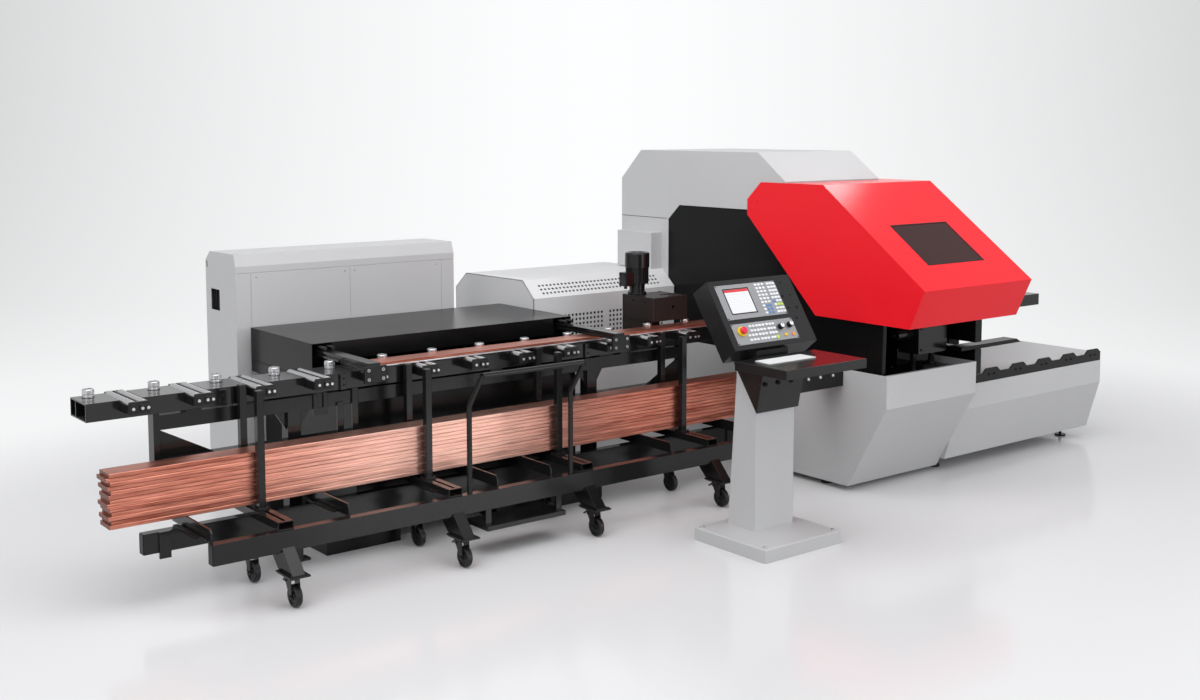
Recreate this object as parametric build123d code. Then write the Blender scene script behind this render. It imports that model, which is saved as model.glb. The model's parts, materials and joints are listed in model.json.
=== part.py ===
import os
from math import hypot
from build123d import *

# Driving dimensions in millimetres. X runs along the line, Y to the back, Z up.
# They count from the floor below the infeed end, on the beam's centre line.
# The finished parts are moved so that the origin is the middle of the footprint.

# Line beam
beam_len = 4344
beam_half = 110
beam_z0 = 880
beam_z1 = 968
beam_wall = 6
web_y = 35
station_pitch = 317.3
station_count = 12
first_pin_x = 65
roller_shift = -10

# Guide pins along the back of the bar
pin_y = 50
pin_r = 28
pin_h = 42
hex_flats = 30
hex_depth = 22

# Roller units let into the beam
unit_half = 53
unit_y0 = -215
unit_y1 = 127
unit_z0 = 915
unit_z1 = 972
roller_r = 23
roller_offset = 28
roller_top = 976
unit_bolt_offsets = (-30, 13, 41)
unit_bolt_z = 940

# Flat copper bars
bar_w = 130
bar_t = 20
bar_len = 4200
bar_count = 13
stack_x0 = 25
stack_z0 = 413
infeed_x0 = 1490
infeed_x1 = 4500

# Stand below the beam
stand_x0 = 318
stand_x1 = 3740
stand_y0 = -105
stand_y1 = -35
stand_top = 869
stand_tube = 72
stand_low = 650
stand_columns = ((1050, 0), (2989, 100))
column_half = 36
gusset_w = 60
gusset_h = 95

# Transfer arms and loader
arm_x = (1410, 3045)
arm_half = 35
arm_z0 = 998
arm_z1 = 1035
arm_y0 = -300
arm_y1 = 780
arm_gap = 0.3
loader_x0 = 1340
loader_x1 = 3110
loader_y0 = 265
loader_y1 = 1050
loader_top = 1070
fascia_x0 = 1457
fascia_x1 = 2976
fascia_z0 = 965
cabinet_x0 = 1440
cabinet_x1 = 2920
cabinet_y0 = -30
cabinet_y1 = 1091
bed_t = 12
plinth_h = 100
plinth_y0 = -95
plinths = ((1225, 1670), (2300, 3073))

# Cabinets behind the line
sheet = 4
electric_x0 = 1270
electric_x1 = 2776
electric_roof = ((1091, 1428), (1116, 1500), (1460, 1497), (1527, 1442))
power_x0 = 3125
power_x1 = 4340
power_roof = ((681, 1134), (807, 1246), (1480, 1239), (1614, 1131))

# Press
press_x0 = 4340
press_x1 = 5240
skirt_x1 = 5210
wall_x1 = 5304
plate_t = 30
wall_step_z = 668
rail_x1 = 5745
rail_bevel = 45
roof_line = ((-382, 1703), (-382, 1898), (-130, 2080), (1047, 2080), (1262, 1876), (1262, 762))
side_line = ((748, 762), (748, 1599), (632, 1703))
skirt_line = ((1262, 34), (-939, 34), (-1233, 560), (-1233, 762))
skirt_lip = 22
pass_z1 = 1060
pass_half = 150

# Guard hood, hinged at the back
hood_x0 = 4320
hood_x1 = 5363
hood_line = ((-58, 1775), (-180, 1889), (-718, 1890), (-1517, 1301), (-1412, 1068), (-671, 1071), (-57, 1676))
hinge_y = -120
hinge_z = 1738
hinge_pin_r = 12
window_x = (4570, 5095)
window_y = (-1342, -1055)

# Tools below the hood
head_x = (4824, 5105)
head_y = (-1080, -920)
head_z = (822, 1010)
pillar_x = (4875, 5055)
pillar_y = -1000
pillar_r = 20
bed_z = 700

# Outfeed side
out_x1 = 6850
out_rear = -425
out_line = ((-600, 84), (-1003, 84), (-1100, 419), (-1100, 578))
out_top_x1 = 6830
out_top_z = 637
strip_t = 10
tooth_pitch = 297
tooth_count = 5
tooth_top = 118
tooth_base = 192
tooth_z = (634, 664)
first_tooth_x = 5507
discharge_x1 = 7130
discharge_leg = (6350, -140)

# Levelling feet
foot_r = 38
foot_t = 12
foot_stem_r = 10

# Operator console
console_x0 = 2966
console_x1 = 3591
console_line = ((-1357, 1074), (-1128, 1418), (-1022, 1343), (-1263, 996))
stand_base_h = 72
column_x = (3123, 3418)
column_top = 972
shelf_t = 50
shelf_y0 = -1732
panel_t = 3
display_uv = (39, 177, 492, 383)
keys_uv = (40, 27, 500, 150)
stop_uv = (100, 103)
knob_uv = ((390, 104), (463, 109))
button_uv = ((342, 48), (408, 55), (465, 53))

# Trolley
trolley_x = 2126
cross_offsets = (-1376, -430, 430, 1376)
rail_z0 = 253
rail_z1 = 353
cross_h = 40
post_top = 980
post_w = 35
front_rail_half = 1747
rear_rail_half = 1936
hook_half = 1836
handle_x = (1785, 2442)
plate_offsets = (-1735, -1033, -157, 193, 1062, 1743)
strap_offsets = (-1763, -1055, -477, 514, 1071, 1774)
caster_axis_y = (-661, -204)
caster_trail = 36
wheel_r = 54.5
wheel_w = 32
axle_z = 55
fork_top = 148.7
mount_z = 149
tray_w = 510
tray_y = (-648, -440)
tray_z = (140, 165)


def block(x0, x1, y0, y1, z0, z1):
    centre = Pos((x0 + x1) / 2, (y0 + y1) / 2, (z0 + z1) / 2)
    return centre * Box(x1 - x0, y1 - y0, z1 - z0)


def prism_x(points, x0, x1):
    wire = Polyline(*[(x0, y, z) for y, z in points], close=True)
    return extrude(make_face(wire), amount=x1 - x0, dir=(1, 0, 0))


def prism_y(points, y0, y1):
    wire = Polyline(*[(x, y0, z) for x, z in points], close=True)
    return extrude(make_face(wire), amount=y1 - y0, dir=(0, 1, 0))


def rod_x(x0, x1, y, z, r):
    return Pos((x0 + x1) / 2, y, z) * Rot(0, 90, 0) * Cylinder(r, x1 - x0)


def rod_y(x, y0, y1, z, r):
    return Pos(x, (y0 + y1) / 2, z) * Rot(90, 0, 0) * Cylinder(r, y1 - y0)


def rod_z(x, y, z0, z1, r):
    return Pos(x, y, (z0 + z1) / 2) * Cylinder(r, z1 - z0)


def merged(shapes):
    return Part() + list(shapes)


def set_off(points, t):
    """The open outline moved sideways by t, with mitred corners."""
    normals = []
    for (y0, z0), (y1, z1) in zip(points, points[1:]):
        length = hypot(y1 - y0, z1 - z0)
        normals.append(((z1 - z0) / length, (y0 - y1) / length))
    before = [normals[0]] + normals
    after = normals + [normals[-1]]
    moved = []
    for (y, z), (a, b), (c, d) in zip(points, before, after):
        k = t / (1 + a * c + b * d)
        moved.append((y + k * (a + c), z + k * (b + d)))
    return moved


def folded(points, t, x0, x1):
    """A bent sheet of thickness t whose outer side follows the outline."""
    return prism_x(list(points) + set_off(points, t)[::-1], x0, x1)


def shell_box(x0, x1, y0, y1, z0, z1, t):
    """A box of sheet, open below."""
    outer = block(x0, x1, y0, y1, z0, z1)
    return outer - block(x0 + t, x1 - t, y0 + t, y1 - t, z0, z1 - t)


def tube_x(x0, x1, y0, y1, z0, z1, t):
    outer = block(x0, x1, y0, y1, z0, z1)
    return outer - block(x0, x1, y0 + t, y1 - t, z0 + t, z1 - t)


def unit_x(k):
    return first_pin_x + station_pitch * (k + 0.5) + roller_shift


# Line beam with a web inside and a pocket for each roller unit
def infeed_beam():
    beam = tube_x(0, beam_len, -beam_half, beam_half, beam_z0, beam_z1, beam_wall)
    beam += block(0, beam_len, web_y - 3, web_y + 3, beam_z0, beam_z1)
    for k in range(station_count):
        x = unit_x(k)
        beam -= block(x - unit_half, x + unit_half, -beam_half, beam_half, unit_z0, beam_z1)
    # paired stop blocks on the front of the beam
    for x in (667, 1325, 2943):
        lug = block(x - 18, x + 18, -beam_half - 14, -beam_half, beam_z0, beam_z1 - 8)
        for z in (beam_z0 + 25, beam_z0 + 58):
            lug -= rod_y(x, -beam_half - 14, -beam_half - 6, z, 6)
        beam += lug
    return beam


# Guide pins, socket headed, with two turned grooves
def guide_pins():
    profile = Polyline(
        (0, 0), (pin_r, 0), (pin_r, 12), (pin_r - 2, 13), (pin_r - 2, 16), (pin_r, 17),
        (pin_r, pin_h - 4), (pin_r - 4, pin_h), (0, pin_h), close=True)
    turned = revolve(make_face(Plane.XZ * profile), Axis.Z)
    socket = extrude(RegularPolygon(hex_flats / 2, 6, major_radius=False), amount=hex_depth)
    pin = turned - Pos(0, 0, pin_h - hex_depth) * socket
    places = [first_pin_x + station_pitch * k for k in range(station_count + 1)]
    return [Pos(x, pin_y, beam_z1) * pin for x in places]


# Roller units: a carrier with two troughs and a lobed nose
def roller_block(x):
    z_axis = roller_top - roller_r
    outline = [(-unit_half, unit_z0), (unit_half, unit_z0), (unit_half, unit_z1 - 14),
               (unit_half - 9, unit_z1), (9 - unit_half, unit_z1), (-unit_half, unit_z1 - 14)]
    body = prism_y([(x + a, b) for a, b in outline], unit_y0, unit_y1)
    for side in (-1, 1):
        xr = x + side * roller_offset
        body -= rod_y(xr, unit_y0 + 10, unit_y1 - 10, z_axis, roller_r + 1)
        body -= block(xr - roller_r - 1, xr + roller_r + 1, unit_y0 + 10, unit_y1 - 10, z_axis, unit_z1)
    nose = rod_y(x - 30, unit_y0 - 6, unit_y0, unit_bolt_z, 21)
    nose += prism_y([(x + 2, unit_bolt_z - 16), (x + 52, unit_bolt_z - 16),
                     (x + 52, unit_bolt_z + 16), (x + 2, unit_bolt_z + 16)], unit_y0 - 6, unit_y0)
    return body + nose


def roller_pair(x):
    z_axis = roller_top - roller_r
    pair = []
    for side in (-1, 1):
        roller = rod_y(x + side * roller_offset, unit_y0 + 12, unit_y1 - 12, z_axis, roller_r)
        spigot = rod_y(x + side * roller_offset, unit_y0 + 10, unit_y1 - 10, z_axis, 8)
        pair.append(roller + spigot)
    return pair


def bolt(x, y, z, r=7.5, h=7):
    """A socket screw head that stands on a face looking to the front."""
    return rod_y(x, y - h, y, z, r)


def unit_bolts():
    heads = []
    for k in range(station_count):
        for offset in unit_bolt_offsets:
            heads.append(bolt(unit_x(k) + offset, unit_y0 - 6, unit_bolt_z))
    for x in (4023, 4127, 4240):
        heads.append(bolt(x, -892, 734, 9, 8))
    return heads


def infeed_bar():
    z0 = roller_top
    bar = block(infeed_x0, infeed_x1, pin_y - pin_r - bar_w, pin_y - pin_r, z0, z0 + bar_t)
    return fillet(bar.edges().filter_by(Axis.X), 2)


# Stand: two long tubes, end brackets, gussets and two columns to the floor
def beam_stand():
    top = tube_x(stand_x0, stand_x1, stand_y0, stand_y1, stand_top - stand_tube, stand_top, 5)
    low = tube_x(stand_x0 + 30, stand_x1 - 30, stand_y0, stand_y1, stand_low - 90, stand_low, 5)
    parts = [top, low]
    for x0, x1, slope in ((stand_x0, stand_x0 + 30, 1), (stand_x1 - 30, stand_x1, -1)):
        parts.append(block(x0, x1, stand_y0, stand_y1, stand_low - 90, beam_z0))
        inner = x1 if slope > 0 else x0
        gusset = [(inner, stand_top - stand_tube), (inner, stand_low), (inner + slope * 280, stand_low)]
        parts.append(prism_y(gusset, stand_y0 + 20, stand_y0 + 30))
    for x in (520, 1195, 2300, 3250):
        parts.append(block(x - 40, x + 40, stand_y0, stand_y1, stand_top, beam_z0))
    tube_z0 = stand_top - stand_tube
    for x, floor in stand_columns:
        parts.append(block(x - column_half, x + column_half, stand_y0, stand_y1, floor + 12, stand_low - 90))
        parts.append(block(x - column_half, x + column_half, stand_y0, stand_y1, stand_low, tube_z0))
        parts.append(block(x - 80, x + 80, stand_y0 + 5, stand_y1, floor, floor + 12))
        for side in (-1, 1):
            edge = x + side * column_half
            web = [(edge, tube_z0), (edge + side * gusset_w, tube_z0), (edge, tube_z0 - gusset_h)]
            parts.append(prism_y(web, stand_y0 + 20, stand_y0 + 30))
    # hanger plates in front of the tubes, below the left transfer arm
    parts.append(block(1377, 1411, stand_y0 - 12, stand_y0, stand_low - 60, beam_z0))
    parts.append(block(1290, 1325, stand_y0 - 12, stand_y0, stand_low - 60, tube_z0 + 20))
    stand = merged(parts)
    notch = block(1155, 1235, stand_y0 - 10, stand_y0, 764, 875) - block(1178, 1212, stand_y0 - 10, stand_y0, 800, 875)
    return stand + notch


# Base cabinet with plinths, bed plate and a channel guide for each arm
def base_cabinet():
    bed_z1 = beam_z0
    body = block(cabinet_x0, cabinet_x1, cabinet_y0, cabinet_y1, plinth_h, bed_z1 - bed_t)
    body -= block(cabinet_x0 + sheet, cabinet_x1 - sheet, cabinet_y0 + sheet, cabinet_y1 - sheet,
                  plinth_h + sheet, bed_z1 - bed_t)
    body -= block(1800, 2150, 350, 700, plinth_h, plinth_h + sheet)
    parts = [body, block(loader_x0, loader_x1, cabinet_y0, loader_y1, bed_z1 - bed_t, bed_z1)]
    for x0, x1 in plinths:
        parts.append(shell_box(x0, x1, plinth_y0, loader_y1 - 50, 0, plinth_h, sheet))
    for x in arm_x:
        guide = block(x - 60, x + 60, 340, 900, bed_z1, arm_z1 - 8)
        side = arm_half + arm_gap
        guide -= block(x - side, x + side, 340, 900, arm_z0 - arm_gap, arm_z1)
        parts.append(guide)
    return merged(parts)


# Loader cover: a folded lid with a fascia between two recesses
def loader_cover():
    cover = shell_box(loader_x0, loader_x1, loader_y0, loader_y1, beam_z0, loader_top, sheet)
    cover -= block(loader_x0 + sheet, fascia_x0, loader_y0, loader_y0 + sheet, beam_z0, loader_top - sheet)
    cover -= block(fascia_x1, loader_x1 - sheet, loader_y0, loader_y0 + sheet, beam_z0, loader_top - sheet)
    cover -= block(fascia_x0, fascia_x1, loader_y0, loader_y0 + sheet, beam_z0, fascia_z0)
    cover += block(fascia_x0, fascia_x1, loader_y0 + sheet, loader_y0 + 24, fascia_z0, fascia_z0 + sheet)
    return cover


# Transfer arm: a grooved slide bar with a pusher plate on its nose
def transfer_arm(x):
    bar = block(x - arm_half, x + arm_half, arm_y0, arm_y1, arm_z0, arm_z1)
    groove_z = (arm_z0 + arm_z1) / 2
    for side in (-1, 1):
        edge = x + side * arm_half
        bar -= block(edge - 8, edge + 8, arm_y0 + 30, arm_y1, groove_z - 5, groove_z + 5)
    plate = block(x - 64, x + 64, arm_y0 - 14, arm_y0, 935, 1022)
    web = prism_x([(arm_y0, 945), (arm_y0, arm_z0), (arm_y0 + 50, arm_z0)], x - 8, x + 8)
    parts = [bar, plate, web]
    for dx in (-42, 42):
        for z in (955, 1002):
            parts.append(bolt(x + dx, arm_y0 - 14, z, 7, 5))
    return merged(parts)


def roofed_cabinet(x0, x1, roof):
    """A sheet cabinet whose roof has a bevel at front and back."""
    y0 = roof[0][0]
    y1 = roof[-1][0]
    body = prism_x([(y0, 0)] + list(roof) + [(y1, 0)], x0, x1)
    hollow = set_off([(y0, 0)] + list(roof) + [(y1, 0)], sheet)
    return body - prism_x(hollow, x0 + sheet, x1 - sheet)


# Electric cabinet with a cut-out in its end and a seam below the roof
def electric_cabinet():
    cabinet = roofed_cabinet(electric_x0, electric_x1, electric_roof)
    cabinet -= block(electric_x0, electric_x0 + sheet, 1327, 1454, 1145, 1272)
    cabinet -= block(electric_x0, electric_x0 + sheet, 1500, 1516, 1395, 1436)
    y0 = electric_roof[0][0]
    cabinet -= block(electric_x0, electric_x1, y0, y0 + 1.5, 1385, 1388)
    for x in (1366, 2020, 2680):
        cabinet -= block(x - 1.5, x + 1.5, y0, y0 + 1.5, 0, 1385)
    for x in (electric_x0 + 60, electric_x1 - 60):
        cabinet += block(x - 50, x + 50, y0 + sheet, electric_roof[-1][0] - sheet, 0, 60)
    return cabinet


def power_unit_cover():
    cover = roofed_cabinet(power_x0, power_x1, power_roof)
    y0 = power_roof[0][0]
    for x in (power_x0 + 60, power_x1 - 60):
        cover += block(x - 50, x + 50, y0 + sheet, power_roof[-1][0] - sheet, 0, 60)
    return cover


# Press frame: left plate, right wall, crossheads, bed and the delivery rail
def press_frame():
    x0 = press_x0 + sheet
    slope = ((-1200, 1240), (-640, 1690), (632, 1703), (748, 1599), (748, 50))
    left = prism_x(((-870, 60), (-1190, 640)) + slope, x0, x0 + plate_t)
    wall = prism_x(((-590, 50), (-590, wall_step_z), (-1200, wall_step_z)) + slope, press_x1, wall_x1)
    wall -= block(press_x1, wall_x1, -1200, -900, 830, 875)
    frame = left + wall
    frame += block(x0 + plate_t, press_x1, -640, -60, 1420, 1660)
    frame += block(x0 + plate_t, press_x1, 500, 740, 60, 740)
    frame += block(x0 + plate_t, press_x1, -590, -330, 420, bed_z)
    frame += block(x0 + plate_t, skirt_x1 - 20, -1150, -590, 560, bed_z)
    for a, b in ((x0, x0 + plate_t), (press_x1, wall_x1)):
        frame -= block(a, b, -pass_half, pass_half, beam_z1, pass_z1)
    rail_line = [(head_x[1] + 8, 830), (rail_x1, 830), (rail_x1 - rail_bevel, 855), (head_x[1] + 8, 855)]
    return frame + prism_y(rail_line, -1190, -1090)


# Press housing: a folded cap with a panel behind and a valve box at the side
def press_housing():
    side = list(roof_line) + list(side_line)
    cap = prism_x(side, press_x0, press_x1)
    inner = set_off(roof_line, sheet) + [(500, 700), (500, 1600)]
    hollow = prism_x(inner, press_x0 + sheet, press_x1 - sheet)
    box = block(press_x0 - 100, press_x0, 821, 1194, 1247, 1502)
    box = fillet(box.edges().filter_by(Axis.Z).group_by(Axis.X)[0], 8)
    cap = cap - hollow + box
    boss_z = hinge_z
    left = rod_x(hood_x0 + 16, press_x0, hinge_y, boss_z, 32)
    left += rod_x(hood_x0 + 5, hood_x0 + 16, hinge_y, boss_z, hinge_pin_r)
    right = rod_x(press_x1, hood_x1 - 16, hinge_y, boss_z, 32)
    right += rod_x(hood_x1 - 16, hood_x1 - 5, hinge_y, boss_z, hinge_pin_r)
    return cap + left + right


# Base skirt: a raked tray open on top, with a lip, and a rear wing round the wall
def base_skirt():
    top_z = skirt_line[-1][1]
    rear_y = skirt_line[0][0]
    floor_z = skirt_line[0][1]
    tray = prism_x(skirt_line + ((rear_y, top_z),), press_x0, skirt_x1)
    inner = set_off(((rear_y, top_z + 60),) + skirt_line, sheet)
    inner[-1] = (inner[-1][0], top_z + 60)
    tray -= prism_x(inner, press_x0 + sheet, skirt_x1 - sheet)
    tray -= block(skirt_x1 - 2 * sheet, skirt_x1 + 1, -600, 1300, floor_z + sheet, top_z + 1)
    lip = block(press_x0, skirt_x1, -1233, -1233 + skirt_lip, top_z - sheet, top_z)
    wing = block(skirt_x1 - 20, press_x1, -580, rear_y, floor_z, floor_z + sheet)
    back = block(skirt_x1 - 20, press_x1, rear_y - sheet, rear_y, floor_z, top_z)
    side = block(press_x1 - sheet, press_x1, 752, rear_y, floor_z, top_z)
    return merged([tray, lip, wing, back, side])


# Bracket on the left of the skirt, a channel open to the back
def skirt_bracket():
    channel = block(3965, press_x0, -892, -720, 657, 750)
    channel -= block(3965, press_x0 - 12, -880, -720, 669, 738)
    return channel


# Motor on the gearbox: flange, finned body, cowl and terminal box
def drive_motor():
    x = 3665
    y = 283
    motor = rod_z(x, y, 1165, 1177, 62) + rod_z(x, y, 1177, 1236, 50)
    body = Pos(x, y, 1288) * Cylinder(66, 106)
    fin = block(x - 75, x + 75, y - 2.5, y + 2.5, 1240, 1336)
    fins = [Pos(x, y, 0) * Rot(0, 0, a) * Pos(-x, -y, 0) * fin for a in range(0, 180, 15)]
    cowl = Pos(x, y, 1390) * Cylinder(80, 98)
    cowl = fillet(cowl.edges().sort_by(Axis.Z)[-1], 12)
    box = block(x - 118, x - 60, y - 38, y + 38, 1225, 1312)
    return merged([motor, body, cowl, box] + fins)


def gearbox():
    case = block(3593, 3884, 36, 305, 1014, 1165)
    case = chamfer(case.edges().filter_by(Axis.Z), 4)
    head = block(3600, 3735, 136, 352, 892, 1165)
    tie = block(3600, 3645, 110, 136, 892, 960)
    case = merged([case, head, tie])
    case -= rod_y(3760, 36, 60, 1098, 11)
    case -= Pos(3790, 150, 1165) * extrude(SlotOverall(90, 30), amount=-8)
    for y, z in ((120, 1130), (240, 1130)):
        case -= rod_x(3590, 3606, y, z, 6)
    return case


# Die set: bolster with a die block and two guide pillars
def die_set():
    base = block(4760, 5170, -1120, -880, bed_z, 725)
    die = block(4900, 5030, -1060, -940, 725, 750)
    die -= rod_z(4965, pillar_y, 735, 750, 22)
    pillars = [rod_z(x, pillar_y, 725, 985, pillar_r) for x in pillar_x]
    return merged([base, die] + pillars)


def punch_head():
    head = block(*head_x, *head_y, *head_z)
    head = chamfer(head.edges().filter_by(Axis.Y), 5)
    for x in pillar_x:
        head -= rod_z(x, pillar_y, head_z[0], head_z[1], pillar_r + 0.1)
    barrel = rod_x(4690, head_x[0], pillar_y, 950, 35)
    barrel = fillet(barrel.edges().sort_by(Axis.X)[0], 5)
    barrel -= rod_x(4690, 4702, pillar_y, 950, 20)
    return head + barrel


# Guard hood: cheeks, roof, raked front, skirt below the window, hinge blocks
def hood_spot(y, depth=0):
    """A point on the raked front at y, moved inwards by depth."""
    (ya, za), (yb, zb) = hood_line[3], hood_line[2]
    length = hypot(yb - ya, zb - za)
    z = za + (y - ya) / (yb - ya) * (zb - za)
    return (y + depth * (zb - za) / length, z - depth * (yb - ya) / length)


def window_prism(depth0, depth1):
    y0, y1 = window_y
    corners = [hood_spot(y0, depth0), hood_spot(y1, depth0), hood_spot(y1, depth1), hood_spot(y0, depth1)]
    return prism_x(corners, *window_x)


def guard_hood():
    left = prism_x(hood_line, hood_x0, hood_x0 + sheet)
    right = prism_x(hood_line, hood_x1 - sheet, hood_x1)
    roof_front = (-390, hood_line[2][1])
    front = folded((roof_front,) + hood_line[2:5], -sheet, hood_x0, hood_x1)
    strip = block(press_x1 + 14, hood_x1, -390, -180, hood_line[2][1] - sheet, hood_line[2][1])
    hood = merged([left, right, front, strip])
    hood -= window_prism(-1, sheet + 1)
    inner_left = block(hood_x0 + sheet, hood_x0 + 15, -165, -75, 1693, 1783)
    inner_right = block(hood_x1 - 15, hood_x1 - sheet, -165, -75, 1693, 1783)
    hood += inner_left + inner_right
    hole = hinge_pin_r + 0.1
    hood -= rod_x(hood_x0 + sheet, hood_x0 + 15, hinge_y, hinge_z, hole)
    hood -= rod_x(hood_x1 - 15, hood_x1 - sheet, hinge_y, hinge_z, hole)
    for y in (-148, -93):
        for z in (1712, 1764):
            hood += rod_x(hood_x0 - 4, hood_x0, y, z, 7)
            hood += rod_x(hood_x1, hood_x1 + 4, y, z, 7)
    return hood


def hood_window():
    return window_prism(1, sheet)


# Outfeed base: a trough with a slightly raked front, wider behind the press wall
def outfeed_base():
    x0 = skirt_x1
    rear_x0 = wall_x1
    floor_z = out_line[0][1]
    top_z = out_line[-1][1]
    front = list(out_line) + [(out_line[0][0], top_z)]
    base = prism_x(front, x0, out_x1) + block(rear_x0, out_x1, front[0][0], out_rear, floor_z, top_z)
    slope = set_off(out_line, sheet)
    hollow = prism_x([(front[0][0] - sheet, slope[0][1]), *slope[1:3], (slope[3][0], top_z - sheet),
                      (front[0][0] - sheet, top_z - sheet)], x0 + sheet, out_x1 - sheet)
    hollow += block(rear_x0 + sheet, out_x1 - sheet, front[0][0] - sheet, out_rear - sheet,
                    floor_z + sheet, top_z - sheet)
    return base - hollow


def outfeed_top():
    y0 = out_line[-1][0] + 2 + strip_t
    return shell_box(wall_x1, out_top_x1, y0, out_rear, out_line[-1][1], out_top_z, sheet)


# Toothed strip along the front of the outfeed
def toothed_strip():
    x0 = skirt_x1
    y0 = out_line[-1][0] + 2
    z0 = out_line[-1][1]
    valley, tip = tooth_z
    slant = (tooth_base - tooth_top) / 2
    points = [(x0, z0), (x0, valley)]
    for k in range(tooth_count):
        x = first_tooth_x + tooth_pitch * k
        points += [(x - slant, valley), (x, tip), (x + tooth_top, tip), (x + tooth_top + slant, valley)]
    points[-1] = (out_x1, valley + 5)
    points.append((out_x1, z0))
    return prism_y(points, y0, y0 + strip_t)


def discharge_beam():
    beam = tube_x(wall_x1, discharge_x1, -391, 110, 884, beam_z1, 6)
    x, y = discharge_leg
    leg = block(x - 60, x + 60, y - 60, y + 60, 12, 884)
    foot = block(x - 120, x + 120, y - 120, y + 120, 0, 12)
    return merged([beam, leg, foot])


# Levelling feet: a disc with a spindle up to the sheet above
def levelling_foot(x, y, top):
    disc = rod_z(x, y, 0, foot_t, foot_r)
    return disc + rod_z(x, y, foot_t, top, foot_stem_r)


def levelling_feet():
    under_skirt = [(4420, -700), (5120, -700), (4420, 1150), (5160, 1150)]
    under_out = [(5287, -860), (6745, -860), (5287, -650), (6745, -480)]
    feet = [levelling_foot(x, y, skirt_line[0][1]) for x, y in under_skirt]
    return feet + [levelling_foot(x, y, out_line[0][1]) for x, y in under_out]


# Console: floor plate with a tapered column
def console_stand():
    plate = block(2932, 3510, -1624, -1089, 0, stand_base_h)
    plate = chamfer(plate.edges().group_by(Axis.Z)[-1], 4)
    plate -= block(2938, 3504, -1618, -1095, 0, stand_base_h - 8)
    z0 = stand_base_h
    column = prism_x(((-1355, z0), (-1150, z0), (-1211, column_top), (-1355, column_top)), *column_x)
    inner = ((-1351, z0), (-1154, z0), (-1214, column_top - sheet), (-1351, column_top - sheet))
    column -= prism_x(inner, column_x[0] + sheet, column_x[1] - sheet)
    return plate + column


def console_bracket():
    x0 = column_x[0] - 13
    x1 = column_x[1] + 13
    saddle = prism_x(((-1199, column_top), (-1373, 724), (-1425, column_top)), x0, x1)
    hollow = ((-1140, 700), (-1140, column_top), (-1412, column_top), (-1361, 724), (-1361, 700))
    saddle -= prism_x(hollow, *column_x)
    for x in (3215, 3270, 3325):
        saddle -= rod_y(x, -1440, -1365, 925, 10)
    p1, p4, p3 = console_line[0], console_line[3], console_line[2]
    front_z = p1[1] + (-1330 - p1[0]) * (p4[1] - p1[1]) / (p4[0] - p1[0])
    back_z = p4[1] + (-1215 - p4[0]) * (p3[1] - p4[1]) / (p3[0] - p4[0])
    neck = prism_x(((-1330, column_top), (-1215, column_top), (-1215, back_z), p4, (-1330, front_z)),
                   3150, 3390)
    seat = block(x0, x1, -1350, -1199, column_top, column_top + 8)
    return merged([saddle, seat, neck])


def console_shelf():
    z1 = column_top + shelf_t
    shelf = block(2962, 3570, shelf_y0, -1358, column_top, z1)
    shelf = chamfer(shelf.edges().group_by(Axis.Z)[-1], 2)
    return shelf - block(2966, 3566, shelf_y0 + sheet, -1362, column_top, z1 - sheet)


def face_plane():
    (y0, z0), (y1, z1) = console_line[0], console_line[1]
    length = hypot(y1 - y0, z1 - z0)
    normal = (0, -(z1 - z0) / length, (y1 - y0) / length)
    return Plane(origin=(console_x0, y0, z0), x_dir=(1, 0, 0), z_dir=normal)


def on_face(u, v, w, shape):
    return face_plane() * Pos(u, v, w) * shape


def face_box(u0, v0, u1, v1, w0, w1):
    return on_face((u0 + u1) / 2, (v0 + v1) / 2, (w0 + w1) / 2, Box(u1 - u0, v1 - v0, w1 - w0))


def face_rod(uv, w0, w1, r):
    return on_face(uv[0], uv[1], (w0 + w1) / 2, Cylinder(r, w1 - w0))


def console_housing():
    ring = list(console_line)
    case = prism_x(ring, console_x0, console_x1)
    closed = ring[-1:] + ring + ring[:1]
    inner = set_off(closed, sheet)[1:-1]
    case -= prism_x(inner, console_x0 + sheet, console_x1 - sheet)
    for u0, v0, u1, v1 in (display_uv, keys_uv):
        case -= face_box(u0 + 5, v0 + 5, u1 - 5, v1 - 5, -sheet - 1, 1)
    return case


def display_panel():
    panel = face_box(*display_uv, 0, panel_t)
    panel -= face_box(90, 211, 270, 354, panel_t - 1, panel_t)
    return panel


def key_panel():
    panel = face_box(*keys_uv, 0, panel_t)
    panel -= face_rod(stop_uv, 0, panel_t, 9.1)
    for spot in knob_uv:
        panel -= face_rod(spot, 0, panel_t, 5.1)
    for spot in button_uv:
        panel -= face_rod(spot, 0, panel_t, 10.1)
    return panel


def stop_collar():
    return face_rod(stop_uv, panel_t, 8, 29) - face_rod(stop_uv, panel_t, 8, 9.1)


def emergency_stop():
    head = face_rod(stop_uv, 16, 32, 20)
    head = fillet(head.edges().sort_by(Axis.Z)[-1], 9)
    return merged([head, face_rod(stop_uv, -14, 16, 9), face_rod(stop_uv, -18, -14, 12)])


def rotary_knob(spot):
    knob = face_rod(spot, 4, 8, 17) + face_rod(spot, 8, 24, 14)
    knob += face_rod(spot, -14, 4, 5) + face_rod(spot, -18, -14, 9)
    return knob


def push_button(spot):
    return face_rod(spot, -8, 8, 10) + face_rod(spot, -12, -8, 12)


# Trolley frame: rails, cross tubes, outriggers, plates, straps and push handle
def outrigger(x):
    arm = prism_x(((-638, rail_z0 + 20), (-742, 163), (-591, 163), (-520, 230), (-588, 230), (-588, rail_z0 + 20)),
                  x - 33, x + 33)
    plate = block(x - 50, x + 50, -766, -600, 155, 163)
    top = block(x - 45, x + 45, -706, -606, mount_z, 155)
    rear = block(x - 33, x + 33, -280, -230, 163, rail_z0) + block(x - 45, x + 45, -290, -150, mount_z, 163)
    return [arm, plate, top, rear]


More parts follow.
